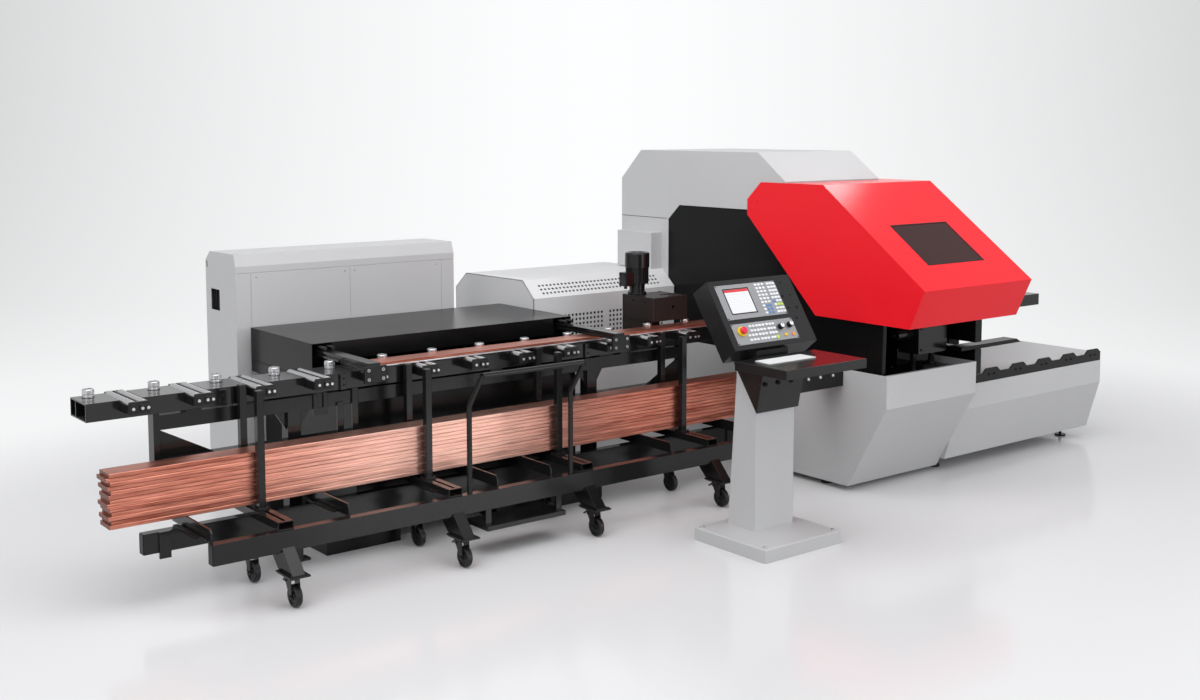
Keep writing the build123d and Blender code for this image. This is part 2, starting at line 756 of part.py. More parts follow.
def push_handle():
    side = ((-612, 345), (-612, 813), (-735, 987))
    left, right = handle_x
    path = Polyline([(left, y, z) for y, z in side] + [(right, y, z) for y, z in reversed(side)])
    section = Pos(left, *side[0]) * Circle(14)
    return sweep(section, path=path, transition=Transition.ROUND)


def trolley_frame():
    x = trolley_x
    parts = [tube_x(x - front_rail_half, x + front_rail_half, -638, -588, rail_z0, rail_z1, 4)]
    parts.append(tube_x(x - rear_rail_half, x + rear_rail_half, -280, -230, rail_z0, rail_z1, 4))
    for offset in cross_offsets:
        x = trolley_x + offset
        tube = block(x - 40, x + 40, -617, -100, rail_z1, rail_z1 + cross_h)
        tube -= block(x - 36, x + 36, -617, -100, rail_z1 + 4, rail_z1 + cross_h - 4)
        tube -= block(x - 7, x + 7, -600, -380, rail_z1 + cross_h - 4, rail_z1 + cross_h)
        parts.append(tube)
        parts += outrigger(x)
    for offset in plate_offsets:
        x = trolley_x + offset
        outline = ((-130, rail_z1), (-600, rail_z1), (-600, 396), (-585, 413), (-130, 413))
        parts.append(prism_x(outline, x - 5, x + 5))
    for offset in strap_offsets:
        x = trolley_x + offset
        parts.append(block(x - 12, x + 12, -490, -230, rail_z1, rail_z1 + 8))
    for x in (trolley_x - hook_half, trolley_x + hook_half):
        parts.append(block(x - 28, x + 28, -292, -280, 225, rail_z1))
    # low tray between the middle outriggers, on two hangers
    tray = block(trolley_x - tray_w / 2, trolley_x + tray_w / 2, *tray_y, *tray_z)
    tray -= block(trolley_x - tray_w / 2 + sheet, trolley_x + tray_w / 2 - sheet, tray_y[0] + sheet,
                  tray_y[1] - sheet, tray_z[0], tray_z[1] - sheet)
    parts.append(tray)
    for side in (-1, 1):
        x = trolley_x + side * (tray_w / 2 - 25)
        parts.append(block(x - 18, x + 18, -620, -606, tray_z[1], rail_z0))
    frame = merged(parts) + push_handle()
    for offset in cross_offsets:
        for y in caster_axis_y:
            frame -= rod_z(trolley_x + offset, y, mount_z, 164, 8.1)
    return frame


def trolley_posts():
    posts = []
    for offset in cross_offsets:
        x = trolley_x + offset
        z0 = rail_z1 + cross_h
        for y in (-345.5, -146.5):
            post = block(x - post_w / 2, x + post_w / 2, y - post_w / 2, y + post_w / 2, z0, post_top)
            post += block(x - 30, x + 30, y - 30, y + 30, z0, z0 + 6)
            posts.append(chamfer(post.edges().group_by(Axis.Z)[-1], 3))
    return posts


# Stack of bars, each a little out of line with the one below
def bar_stack():
    stagger = (0, 9, -5, 11, 2, -8, 6, 0, 10, -4, 8, -9, 4)
    drift = (0, 2, -1, 1, -2, 1, 3, 0, -2, 1, -1, 2, 0)
    y0 = -315
    bars = []
    for k in range(bar_count):
        z0 = stack_z0 + bar_t * k
        x0 = stack_x0 + stagger[k]
        bar = block(x0, x0 + bar_len, y0 + drift[k], y0 + drift[k] + bar_w, z0, z0 + bar_t)
        bars.append(chamfer(bar.edges().filter_by(Axis.X), 2.5))
    return bars


# Casters: a swivelling fork with brake tab, and a wheel on its axle
def caster_fork(x, y):
    yw = y - caster_trail
    crown = rod_z(x, y, 138, fork_top, 36)
    crown += block(x - 24, x + 24, y - 40, y + 26, 130, 138)
    kingpin = rod_z(x, y, fork_top, 160, 8)
    parts = [crown, kingpin]
    for side in (-1, 1):
        x0 = x + side * 20
        x1 = x + side * 24
        cheek = ((y + 26, 138), (y - 40, 138), (yw - 14, axle_z), (yw - 8, axle_z - 14),
                 (yw + 8, axle_z - 14), (yw + 16, axle_z))
        parts.append(prism_x(cheek, min(x0, x1), max(x0, x1)))
    parts.append(rod_x(x - 28, x + 28, yw, axle_z, 6))
    tab = prism_x(((y + 20, 130), (y + 26, 138), (y + 66, 112), (y + 60, 106)), x - 15, x + 15)
    parts.append(tab)
    return merged(parts)


def caster_wheel(x, y):
    half = wheel_w / 2
    profile = Polyline((6.1, -half), (16, -half), (18, -half + 5), (38, -half + 5), (42, -half), (50, -half),
                       (wheel_r, -half + 5), (wheel_r, half - 5), (50, half), (42, half), (38, half - 5),
                       (18, half - 5), (16, half), (6.1, half), close=True)
    turned = revolve(make_face(Plane.XZ * profile), Axis.Z)
    return Pos(x, y - caster_trail, axle_z) * Rot(0, 90, 0) * turned


# Shared frame: the middle of the footprint, on the floor
def save(name, shape):
    middle = Pos(-discharge_x1 / 2, -(shelf_y0 + power_roof[-1][0]) / 2, 0)
    if isinstance(shape, list):
        export_step(Compound(children=[middle * piece for piece in shape]), f"parts/{name}.step")
    else:
        export_step(middle * shape, f"parts/{name}.step")


os.makedirs("parts", exist_ok=True)

stations = [unit_x(k) for k in range(station_count)]
save("infeed_beam", infeed_beam())
save("guide_pins", guide_pins())
save("roller_blocks", [roller_block(x) for x in stations])
save("support_rollers", [roller for x in stations for roller in roller_pair(x)])
save("unit_bolts", unit_bolts())
save("infeed_bar", infeed_bar())
save("beam_stand", beam_stand())
save("base_cabinet", base_cabinet())
save("loader_cover", loader_cover())
save("transfer_arm_left", transfer_arm(arm_x[0]))
save("transfer_arm_right", transfer_arm(arm_x[1]))
save("electric_cabinet", electric_cabinet())
save("power_unit_cover", power_unit_cover())
save("press_frame", press_frame())
save("press_housing", press_housing())
save("base_skirt", base_skirt())
save("skirt_bracket", skirt_bracket())
save("drive_motor", drive_motor())
save("gearbox", gearbox())
save("die_set", die_set())
save("punch_head", punch_head())
save("guard_hood", guard_hood())
save("hood_window", hood_window())
save("outfeed_base", outfeed_base())
save("outfeed_top", outfeed_top())
save("toothed_strip", toothed_strip())
save("discharge_beam", discharge_beam())
save("levelling_feet", levelling_feet())
save("console_stand", console_stand())
save("console_bracket", console_bracket())
save("console_shelf", console_shelf())
save("console_housing", console_housing())
save("display_panel", display_panel())
save("key_panel", key_panel())
save("stop_collar", stop_collar())
save("emergency_stop", emergency_stop())
save("feed_knob", rotary_knob(knob_uv[0]))
save("spindle_knob", rotary_knob(knob_uv[1]))
for name, spot in zip(("start_button", "hold_button", "reset_button"), button_uv):
    save(name, push_button(spot))
save("trolley_frame", trolley_frame())
save("trolley_posts", trolley_posts())
save("bar_stack", bar_stack())
number = 0
for offset in cross_offsets:
    for axis_y in caster_axis_y:
        number += 1
        save(f"caster_fork_{number}", caster_fork(trolley_x + offset, axis_y))
        save(f"caster_wheel_{number}", caster_wheel(trolley_x + offset, axis_y))
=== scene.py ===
# Busbar line: finishes, small parts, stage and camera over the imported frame
import bpy
import bmesh
import json
from math import radians, cos, sin, hypot, pi
from mathutils import Matrix, Vector


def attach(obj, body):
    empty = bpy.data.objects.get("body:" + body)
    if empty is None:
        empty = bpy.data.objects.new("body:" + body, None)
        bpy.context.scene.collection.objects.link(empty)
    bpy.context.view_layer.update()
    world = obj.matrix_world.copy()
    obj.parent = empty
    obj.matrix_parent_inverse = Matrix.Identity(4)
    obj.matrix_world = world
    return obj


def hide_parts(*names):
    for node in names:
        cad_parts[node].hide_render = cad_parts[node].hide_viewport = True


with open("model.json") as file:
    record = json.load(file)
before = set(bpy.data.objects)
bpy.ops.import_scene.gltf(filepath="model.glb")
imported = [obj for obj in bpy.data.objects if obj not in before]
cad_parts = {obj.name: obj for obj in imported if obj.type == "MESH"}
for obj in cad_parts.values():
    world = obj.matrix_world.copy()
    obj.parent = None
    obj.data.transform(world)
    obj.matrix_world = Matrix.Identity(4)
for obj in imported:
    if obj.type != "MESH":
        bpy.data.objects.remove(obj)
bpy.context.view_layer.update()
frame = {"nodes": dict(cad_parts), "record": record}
print("frame loaded", len(frame["nodes"]), "nodes")
bpy.context.scene.view_settings.view_transform = "Standard"

# the drawing's own zero, below the infeed end of the beam, in the shared frame
lineZero = Vector((-3.565, 0.059, 0.0))

def at(x, y, z):  # millimetres of the line to metres of the frame
    return lineZero + Vector((x, y, z)) / 1000

# Camera, stage and lamps

cameraSet = {"place": (-2030, -6510, 2260), "turn": 38.42, "dip": 5.42, "lens": 41.214, "shiftY": -95 / 1200}

def addCamera():
    data = bpy.data.cameras.new("view")
    data.lens = cameraSet["lens"]
    data.sensor_width = 36
    data.shift_y = cameraSet["shiftY"]
    data.clip_end = 200
    cam = bpy.data.objects.new("view", data)
    cam.location = at(*cameraSet["place"])
    cam.rotation_euler = (radians(90 - cameraSet["dip"]), 0, -radians(cameraSet["turn"]))
    bpy.context.collection.objects.link(cam)
    bpy.context.scene.camera = cam

stageSet = {"floor": (0.75, 0.745, 0.75), "bounce": (0.42, 0.42, 0.42), "gloss": 0.15, "middle": 0.99,
            "side": 0.70, "least": 0.68, "spread": 9.2, "centre": 0.375,
            "fall": 1.5, "oval": 1.5, "tint": (0.995, 1.0, 1.008), "shine": 0.4,
            "farFloor": 0.92, "wallFrom": 1.2, "wallTo": 5.5,
            "near": 2.4, "far": 4.6, "reach": 70.0, "depth": 8.0, "bend": 5.0, "height": 60.0}

# a floor that bends up into a wall; the wall glows with a pale tone, brightest in the middle: painted light
def addStage():
    s = stageSet
    turn = radians(cameraSet["turn"])
    mat = bpy.data.materials.new("studioFloor")
    mat.use_nodes = True
    tree = mat.node_tree
    bsdf = tree.nodes["Principled BSDF"]
    bsdf.inputs["Roughness"].default_value = s["gloss"]
    bsdf.inputs["Specular IOR Level"].default_value = s["shine"]
    coords = tree.nodes.new("ShaderNodeTexCoord")
    split = addNode(tree, "ShaderNodeSeparateXYZ", {0: coords.outputs["Object"]})
    x, y, z = split.outputs
    across = minus(times(x, cos(turn)), times(y, sin(turn)))
    deep = plus(times(x, sin(turn)), times(y, cos(turn)))
    across = mathNode("DIVIDE", plus(across, s["centre"]), s["spread"])
    fall = mathNode("POWER", mathNode("ABSOLUTE", across), s["fall"])
    wall = minus(s["middle"], times(fall, s["middle"] - s["side"]))
    wall = mathNode("MAXIMUM", wall, s["least"])
    tone = plus(times(wall, ease(deep, s["wallFrom"], s["wallTo"])),
                times(ease(deep, s["wallTo"], s["wallFrom"]), s["farFloor"]))
    # painted light: the wall and far floor glow with this tone
    glow = tree.nodes.new("ShaderNodeEmission")
    shade = tree.nodes.new("ShaderNodeCombineColor")
    for label, share in (("Red", s["tint"][0]), ("Green", s["tint"][1]), ("Blue", s["tint"][2])):
        link(times(tone, share), shade.inputs[label])
    link(shade.outputs[0], glow.inputs["Color"])
    rays = tree.nodes.new("ShaderNodeLightPath")
    seen = mathNode("MAXIMUM", rays.outputs["Is Camera Ray"], rays.outputs["Is Glossy Ray"])
    seen = mathNode("MAXIMUM", seen, rays.outputs["Is Transmission Ray"])
    # pale to the eye, but it throws little light back up
    shown = mixColours(seen, s["bounce"], s["floor"])
    link(shown, bsdf.inputs["Base Color"])
    # the lit floor lies round the machine; beyond it the stage glows with its own tone, painted light
    wide = mathNode("DIVIDE", x, s["oval"])
    away = mathNode("SQRT", plus(times(wide, wide), times(y, y)))
    outside = ease(plus(away, z), s["near"], s["far"])
    blend = addNode(tree, "ShaderNodeMixShader",
                    {0: times(outside, seen), 1: bsdf.outputs[0], 2: glow.outputs[0]})
    link(blend.outputs[0], tree.nodes["Material Output"].inputs["Surface"])
    # metres: how far the floor reaches, the foot of the wall and its bend
    size, depth, bend = s["reach"], s["depth"], s["bend"]
    rows = [(-size, 0.0), (depth, 0.0)]
    for k in range(1, 17):
        a = radians(90) * k / 16
        rows.append((depth + bend * sin(a), bend * (1 - cos(a))))
    rows.append((depth + bend, s["height"]))
    spin = Matrix.Rotation(-turn, 4, "Z")
    verts, faces = [], []
    for y, z in rows:
        for x in (-size, size):
            verts.append(spin @ Vector((x, y, z)))
    for k in range(len(rows) - 1):
        faces.append((2 * k, 2 * k + 1, 2 * k + 3, 2 * k + 2))
    mesh = bpy.data.meshes.new("studioFloor")
    mesh.from_pydata(verts, [], faces)
    for poly in mesh.polygons:
        poly.use_smooth = True
    floor = bpy.data.objects.new("studioFloor", mesh)
    floor.data.materials.append(mat)
    bpy.context.collection.objects.link(floor)

lampSet = {
    "top": {"place": (1500, -1500, 6500), "aim": (2500, -200, 600), "size": (7.0, 5.0), "power": 225},
    "left": {"place": (-4500, -3500, 3800), "aim": (1500, 0, 900), "size": (4.0, 4.0), "power": 80},
    "front": {"place": (6400, -7900, 1700), "aim": (2500, -300, 600), "size": (3.6, 2.2), "power": 78},
    "kick": {"place": (8060, 60, 5160), "aim": (4374, -745, 1870), "size": (0.35, 0.5), "power": 11},
}
# the sky is a little stronger low down, where it lights the upright faces
worldSet = {"colour": (0.96, 0.97, 1.0), "low": 1.12, "high": 0.85}

def addLamps():
    for name, lamp in lampSet.items():
        data = bpy.data.lights.new(name, "AREA")
        data.shape = "RECTANGLE"
        data.size, data.size_y = lamp["size"]
        data.energy = lamp["power"]
        obj = bpy.data.objects.new(name, data)
        obj.location = at(*lamp["place"])
        aim = at(*lamp["aim"]) - obj.location
        obj.rotation_euler = aim.to_track_quat("-Z", "Y").to_euler()
        bpy.context.collection.objects.link(obj)
    world = bpy.data.worlds.new("studio")
    bpy.context.scene.world = world
    world.use_nodes = True
    tree = world.node_tree
    sky = tree.nodes["Background"]
    sky.inputs[0].default_value = (*worldSet["colour"], 1)
    split = addNode(tree, "ShaderNodeSeparateXYZ",
                    {0: tree.nodes.new("ShaderNodeTexCoord").outputs["Generated"]})
    rise = ease(split.outputs["Z"], 0.0, 0.8)
    step = times(rise, worldSet["high"] - worldSet["low"])
    link(plus(step, worldSet["low"]), sky.inputs[1])

# Finishes

def link(source, target):
    target.node.id_data.links.new(source, target)

def startTree(name, kind, inputs, outputs):
    tree = bpy.data.node_groups.new(name, kind)
    for label, sort, value in inputs:
        place = tree.interface.new_socket(label, in_out="INPUT", socket_type="NodeSocket" + sort)
        if value is not None:
            place.default_value = value
    for label, sort in outputs:
        tree.interface.new_socket(label, in_out="OUTPUT", socket_type="NodeSocket" + sort)
    return tree, tree.nodes.new("NodeGroupInput").outputs, tree.nodes.new("NodeGroupOutput").inputs

def addNode(tree, kind, links):
    node = tree.nodes.new(kind)
    for label, socket in links.items():
        link(socket, node.inputs[label])
    return node

def mixColours(factor, first, second):  # first is a socket or three numbers, second three numbers
    tree = factor.node.id_data
    mix = tree.nodes.new("ShaderNodeMix")
    mix.data_type = "RGBA"
    link(factor, mix.inputs[0])
    if hasattr(first, "node"):
        link(first, mix.inputs[6])
    else:
        mix.inputs[6].default_value = (*first, 1)
    mix.inputs[7].default_value = (*second, 1)
    return mix.outputs[2]

def mathNode(kind, *values):  # sockets or numbers
    tree = next(v for v in values if hasattr(v, "node")).node.id_data
    node = tree.nodes.new("ShaderNodeMath")
    node.operation = kind
    for value, place in zip(values, node.inputs):
        if hasattr(value, "node"):
            link(value, place)
        else:
            place.default_value = value
    return node.outputs[0]

def times(a, b):
    return mathNode("MULTIPLY", a, b)

def plus(a, b):
    return mathNode("ADD", a, b)

def minus(a, b):
    return mathNode("SUBTRACT", a, b)

def ease(value, start, end):  # 0 at start, 1 at end
    tree = value.node.id_data
    step = tree.nodes.new("ShaderNodeMapRange")
    step.interpolation_type = "SMOOTHSTEP"
    step.inputs["From Min"].default_value = start
    step.inputs["From Max"].default_value = end
    link(value, step.inputs["Value"])
    return step.outputs[0]

# fine orange peel and slow clouding of a sprayed or powder coat
def coatGrainGroup():
    tree, given, out = startTree(
        "coatGrain", "ShaderNodeTree",
        [("Vector", "Vector", (0, 0, 0)), ("Grain", "Float", 900.0), ("Cloud", "Float", 3.0)],
        [("Height", "Float"), ("Tone", "Float")])
    fine = tree.nodes.new("ShaderNodeTexNoise")
    slow = tree.nodes.new("ShaderNodeTexNoise")
    fine.inputs["Detail"].default_value = 2
    slow.inputs["Detail"].default_value = 3
    for node, scale in ((fine, "Grain"), (slow, "Cloud")):
        link(given["Vector"], node.inputs["Vector"])
        link(given[scale], node.inputs["Scale"])
    link(fine.outputs["Fac"], out["Height"])
    link(slow.outputs["Fac"], out["Tone"])
    return tree

# lines left by drawing or turning, drawn out along one axis
def drawnLinesGroup():
    tree, given, out = startTree(
        "drawnLines", "ShaderNodeTree",
        [("Vector", "Vector", (0, 0, 0)), ("Fine", "Float", 160.0), ("Along", "Float", 1.2)],
        [("Height", "Float"), ("Tone", "Float")])
    split = tree.nodes.new("ShaderNodeSeparateXYZ")
    join = tree.nodes.new("ShaderNodeCombineXYZ")
    link(given["Vector"], split.inputs[0])
    link(times(split.outputs["X"], given["Along"]), join.inputs["X"])
    link(times(split.outputs["Y"], given["Fine"]), join.inputs["Y"])
    link(times(split.outputs["Z"], given["Fine"]), join.inputs["Z"])
    lines = tree.nodes.new("ShaderNodeTexNoise")
    lines.inputs["Scale"].default_value = 1.0
    lines.inputs["Detail"].default_value = 4
    link(join.outputs[0], lines.inputs["Vector"])
    link(lines.outputs["Fac"], out["Height"])
    link(lines.outputs["Fac"], out["Tone"])
    return tree

groups = {}

def startMaterial(name, metallic=0.0):
    mat = bpy.data.materials.new(name)
    mat.use_nodes = True
    tree = mat.node_tree
    bsdf = tree.nodes["Principled BSDF"]
    bsdf.inputs["Metallic"].default_value = metallic
    coords = tree.nodes.new("ShaderNodeTexCoord")
    return mat, tree, bsdf, coords.outputs["Object"]

def placeGroup(name, vector, values):
    tree = vector.node.id_data
    node = tree.nodes.new("ShaderNodeGroup")
    node.node_tree = groups[name]
    link(vector, node.inputs["Vector"])
    for label, value in values.items():
        node.inputs[label].default_value = value
    return node.outputs

def blendColours(factor, dark, light, low=0.35, high=0.65):
    tree = factor.node.id_data
    ramp = tree.nodes.new("ShaderNodeValToRGB")
    ramp.color_ramp.elements[0].position = low
    ramp.color_ramp.elements[1].position = high
    ramp.color_ramp.elements[0].color = (*dark, 1)
    ramp.color_ramp.elements[1].color = (*light, 1)
    link(factor, ramp.inputs[0])
    return ramp.outputs[0]

def roughSpread(bsdf, factor, low, high):
    tree = factor.node.id_data
    spread = tree.nodes.new("ShaderNodeMapRange")
    spread.inputs["To Min"].default_value = low
    spread.inputs["To Max"].default_value = high
    link(factor, spread.inputs["Value"])
    link(spread.outputs[0], bsdf.inputs["Roughness"])

# fine grain over edges that are broken by a few millimetres
def bumpFrom(bsdf, height, strength, distance, edge=0.004):
    tree = height.node.id_data
    bump = tree.nodes.new("ShaderNodeBump")
    bump.inputs["Strength"].default_value = strength
    bump.inputs["Distance"].default_value = distance
    link(height, bump.inputs["Height"])
    broken = tree.nodes.new("ShaderNodeBevel")
    broken.samples = 4
    broken.inputs["Radius"].default_value = edge
    link(broken.outputs[0], bump.inputs["Normal"])
    link(bump.outputs[0], bsdf.inputs["Normal"])

def coatMaterial(name, dark, light, rough, grain=900.0, bump=0.15, specular=0.5):
    mat, tree, bsdf, vector = startMaterial(name)
    group = placeGroup("coatGrain", vector, {"Grain": grain, "Cloud": 1.3})
    link(blendColours(group["Tone"], dark, light, 0.2, 0.8), bsdf.inputs["Base Color"])
    roughSpread(bsdf, group["Tone"], rough - 0.03, rough + 0.04)
    bumpFrom(bsdf, group["Height"], bump, 0.0003)
    bsdf.inputs["Specular IOR Level"].default_value = specular
    return mat

def metalMaterial(name, dark, light, rough, fine=400.0, along=2.0, bump=0.2):
    mat, tree, bsdf, vector = startMaterial(name, metallic=1.0)
    group = placeGroup("drawnLines", vector, {"Fine": fine, "Along": along})
    link(blendColours(group["Tone"], dark, light), bsdf.inputs["Base Color"])
    roughSpread(bsdf, group["Tone"], rough - 0.05, rough + 0.1)
    bumpFrom(bsdf, group["Height"], bump, 0.0003)
    return mat

# among these: the painted highlight on the middle of the pack, with its colour, centre and reach
copperSet = {"dark": (0.30, 0.085, 0.054), "light": (0.72, 0.285, 0.20), "ends": (0.17, 0.052, 0.032),
             "seam": (0.125, 0.035, 0.022), "paintedSheen": (1.0, 0.66, 0.55), "packTop": 0.8, "sheenAt": -1.75,
             "sheenReach": 1.35,
             "barHeight": 0.02, "firstBar": 0.413, "variety": 0.16}

# each bar of the pack has its own tone, with drawing lines along it
def copperMaterial():
    s = copperSet
    mat, tree, bsdf, vector = startMaterial("drawnCopper", metallic=0.94)
    group = placeGroup("drawnLines", vector, {"Fine": 170.0, "Along": 7.0})
    broad = placeGroup("drawnLines", vector, {"Fine": 34.0, "Along": 3.2})
    split = addNode(tree, "ShaderNodeSeparateXYZ", {0: vector})
    height = minus(split.outputs["Z"], s["firstBar"])
    count = mathNode("DIVIDE", height, s["barHeight"])
    layer = mathNode("FLOOR", count)
    chance = tree.nodes.new("ShaderNodeTexWhiteNoise")
    chance.noise_dimensions = "1D"
    link(layer, chance.inputs["W"])
    spread = times(minus(chance.outputs["Value"], 0.5), s["variety"])
    both = plus(times(group["Tone"], 0.55),
                times(broad["Tone"], 0.45))
    tone = plus(both, spread)
    colour = blendColours(tone, s["dark"], s["light"], 0.34, 0.64)
    # painted sheen: the middle of the pack is painted brighter, fading towards its two ends
    along = mathNode("ABSOLUTE", minus(split.outputs["X"], s["sheenAt"]))
    reach = times(ease(along, s["sheenReach"], 0.1), plus(both, 0.12))
    below = mathNode("LESS_THAN", split.outputs["Z"], s["packTop"])
    paintedSheen = times(reach, below)
    bright = mixColours(paintedSheen, colour, s["paintedSheen"])
    coords = tree.nodes.new("ShaderNodeTexCoord")
    facing = addNode(tree, "ShaderNodeSeparateXYZ", {0: coords.outputs["Normal"]})
    upright = mathNode("LESS_THAN", mathNode("ABSOLUTE", facing.outputs["Z"]), 0.7)
    # the rounded edges between two bars lie in shade
    within = mathNode("ABSOLUTE", minus(mathNode("FRACT", count), 0.5))
    seam = mixColours(times(upright, ease(within, 0.36, 0.5)), bright, s["seam"])
    # sawn ends have gone dull and dark
    sawn = mathNode("GREATER_THAN", mathNode("ABSOLUTE", facing.outputs["X"]), 0.8)
    ends = mixColours(sawn, seam, s["ends"])
    link(ends, bsdf.inputs["Base Color"])
    roughSpread(bsdf, tone, 0.24, 0.46)
    bumpFrom(bsdf, both, 0.6, 0.0012, 0.0015)
    return mat

# lit display: white page below a red heading band
screenSet = {"bandFrom": 1.3566, "page": (0.97, 0.98, 1.0), "band": (0.85, 0.03, 0.05), "strength": 0.92}

def screenMaterial():
    mat, tree, bsdf, vector = startMaterial("litScreen")
    split = addNode(tree, "ShaderNodeSeparateXYZ", {0: vector})
    inBand = mathNode("GREATER_THAN", split.outputs["Z"], screenSet["bandFrom"])
    # faint rows of a table on the page
    rows = mathNode("SINE", times(split.outputs["Z"], 520.0))
    rule = mathNode("GREATER_THAN", rows, 0.93)
    page = blendColours(rule, screenSet["page"], (0.80, 0.84, 0.88), 0.4, 0.6)
    mix = mixColours(inBand, page, screenSet["band"])
    bsdf.inputs["Base Color"].default_value = (0.02, 0.02, 0.02, 1)
    link(mix, bsdf.inputs["Emission Color"])
    bsdf.inputs["Emission Strength"].default_value = screenSet["strength"]
    bsdf.inputs["Roughness"].default_value = 0.2
    return mat

# the beam is painted black, and its upward faces carry a painted sheen, a lighter grey streaked along the beam
beamSheen = {"paint": (0.007, 0.007, 0.0072), "paintedSheen": (0.055, 0.055, 0.056), "specular": 0.5, "rough": 0.14}

def beamMaterial():
    mat = coatMaterial("beamBlack", beamSheen["paint"], beamSheen["paint"], beamSheen["rough"], 900.0, 0.04,
                       beamSheen["specular"])
    tree = mat.node_tree
    bsdf = tree.nodes["Principled BSDF"]
    coords = tree.nodes.new("ShaderNodeTexCoord")
    facing = addNode(tree, "ShaderNodeSeparateXYZ", {0: coords.outputs["Normal"]})
    streaks = placeGroup("drawnLines", coords.outputs["Object"], {"Fine": 60.0, "Along": 2.0})
    # painted sheen: upward faces are painted lighter grey, streaked along the beam
    upper = times(ease(facing.outputs["Z"], 0.6, 0.9), plus(streaks["Tone"], 0.4))
    mix = mixColours(upper, bsdf.inputs["Base Color"].links[0].from_socket, beamSheen["paintedSheen"])
    link(mix, bsdf.inputs["Base Color"])
    return mat

# each coat: name, dark and light tone, roughness, and where they differ its grain, relief and shine
coatSet = {
    "black": ("blackPowder", (0.008, 0.008, 0.0083), (0.0105, 0.0105, 0.0108), 0.15, 900.0, 0.05, 0.32),
    "plateBlack": ("plateBlack", (0.0045, 0.0045, 0.0047), (0.006, 0.006, 0.0062), 0.22, 900.0, 0.05, 0.15),
    "umber": ("umberPaint", (0.018, 0.012, 0.011), (0.027, 0.019, 0.017), 0.36, 900.0, 0.12, 0.25),
    "grey": ("greyTexture", (0.535, 0.535, 0.538), (0.565, 0.565, 0.568), 0.42, 600.0, 0.2),
    "paleGrey": ("paleGreyTexture", (0.67, 0.67, 0.672), (0.70, 0.70, 0.702), 0.42, 600.0, 0.2),
    "red": ("redGloss", (0.89, 0.014, 0.024), (0.93, 0.018, 0.029), 0.19, 1200.0, 0.03, 0.14),
    "charcoal": ("charcoalPaint", (0.011, 0.011, 0.0115), (0.015, 0.015, 0.0155), 0.2, 900.0, 0.06, 0.33),
    "black_plastic": ("blackPlastic", (0.005, 0.005, 0.005), (0.007, 0.007, 0.007), 0.34, 1500.0, 0.1, 0.2),
    "tyre": ("tyreRubber", (0.005, 0.005, 0.005), (0.009, 0.009, 0.009), 0.38, 700.0, 0.15, 0.35),
    "yellow": ("yellowPlastic", (0.80, 0.58, 0.01), (0.86, 0.64, 0.02), 0.3, 1500.0, 0.05),
    "red_plastic": ("redPlastic", (0.72, 0.01, 0.05), (0.80, 0.02, 0.06), 0.25, 1500.0, 0.05),
    "green": ("greenPlastic", (0.50, 0.70, 0.05), (0.58, 0.78, 0.08), 0.3, 1500.0, 0.05),
    "amber": ("amberPlastic", (0.85, 0.50, 0.04), (0.90, 0.56, 0.06), 0.3, 1500.0, 0.05),
    "orange": ("orangePlastic", (0.85, 0.26, 0.04), (0.90, 0.32, 0.06), 0.3, 1500.0, 0.05),
    "pane": ("tintedPane", (0.036, 0.010, 0.010), (0.042, 0.012, 0.012), 0.12, 300.0, 0.02, 0.13),
    "keyWhite": ("keyWhite", (0.84, 0.85, 0.87), (0.90, 0.91, 0.93), 0.35, 1500.0, 0.05),
    "keyBlue": ("keyBlue", (0.10, 0.24, 0.52), (0.14, 0.30, 0.60), 0.35, 1500.0, 0.05),
    "paleSheet": ("paleSheet", (0.72, 0.73, 0.73), (0.80, 0.81, 0.81), 0.5, 300.0, 0.1),
    "shade": ("darkInside", (0.004, 0.004, 0.004), (0.007, 0.007, 0.007), 0.7, 400.0, 0.1, 0.2),
}
metalSet = {
    "steel": ("turnedSteel", (0.46, 0.46, 0.47), (0.66, 0.66, 0.67), 0.26),
    "silver": ("anodisedPanel", (0.40, 0.40, 0.41), (0.48, 0.48, 0.49), 0.42, 900.0, 4.0, 0.08),
}
made = {}

def makeMaterials():
    groups["coatGrain"] = coatGrainGroup()
    groups["drawnLines"] = drawnLinesGroup()
    for key, values in coatSet.items():
        made[key] = coatMaterial(*values)
    for key, values in metalSet.items():
        made[key] = metalMaterial(*values)
    made["copper"] = copperMaterial()
    made["beamBlack"] = beamMaterial()
    made["screen"] = screenMaterial()

# large dark sheets are flatter than the frames
nodeFinish = {"press_frame": "plateBlack", "loader_cover": "plateBlack", "base_cabinet": "plateBlack",
              "infeed_beam": "beamBlack"}

def dressNodes():
    slots = {part["node"]: part["material_slot"] for part in frame["record"]["subparts"]}
    for node, slotName in slots.items():
        for place in bpy.data.objects[node].material_slots:
            place.material = made[nodeFinish.get(node, slotName)]

# Mesh making: a shape is (points in line millimetres, faces)

axisOf = {"x": 0, "y": 1, "z": 2}

def inset(outline, by):  # outline runs anticlockwise
    count = len(outline)
    done = []
    for k in range(count):
        a, b, c = (Vector(outline[(k + s) % count]) for s in (-1, 0, 1))
        u, v = (b - a).normalized(), (c - b).normalized()
        nu, nv = Vector((-u.y, u.x)), Vector((-v.y, v.x))
        half = nu + nv
        done.append(tuple(b + half * (by / max(half.dot(nu), 0.2))))
    return done

def areaOf(outline):
    return sum(a[0] * b[1] - b[0] * a[1] for a, b in zip(outline, outline[1:] + outline[:1])) / 2

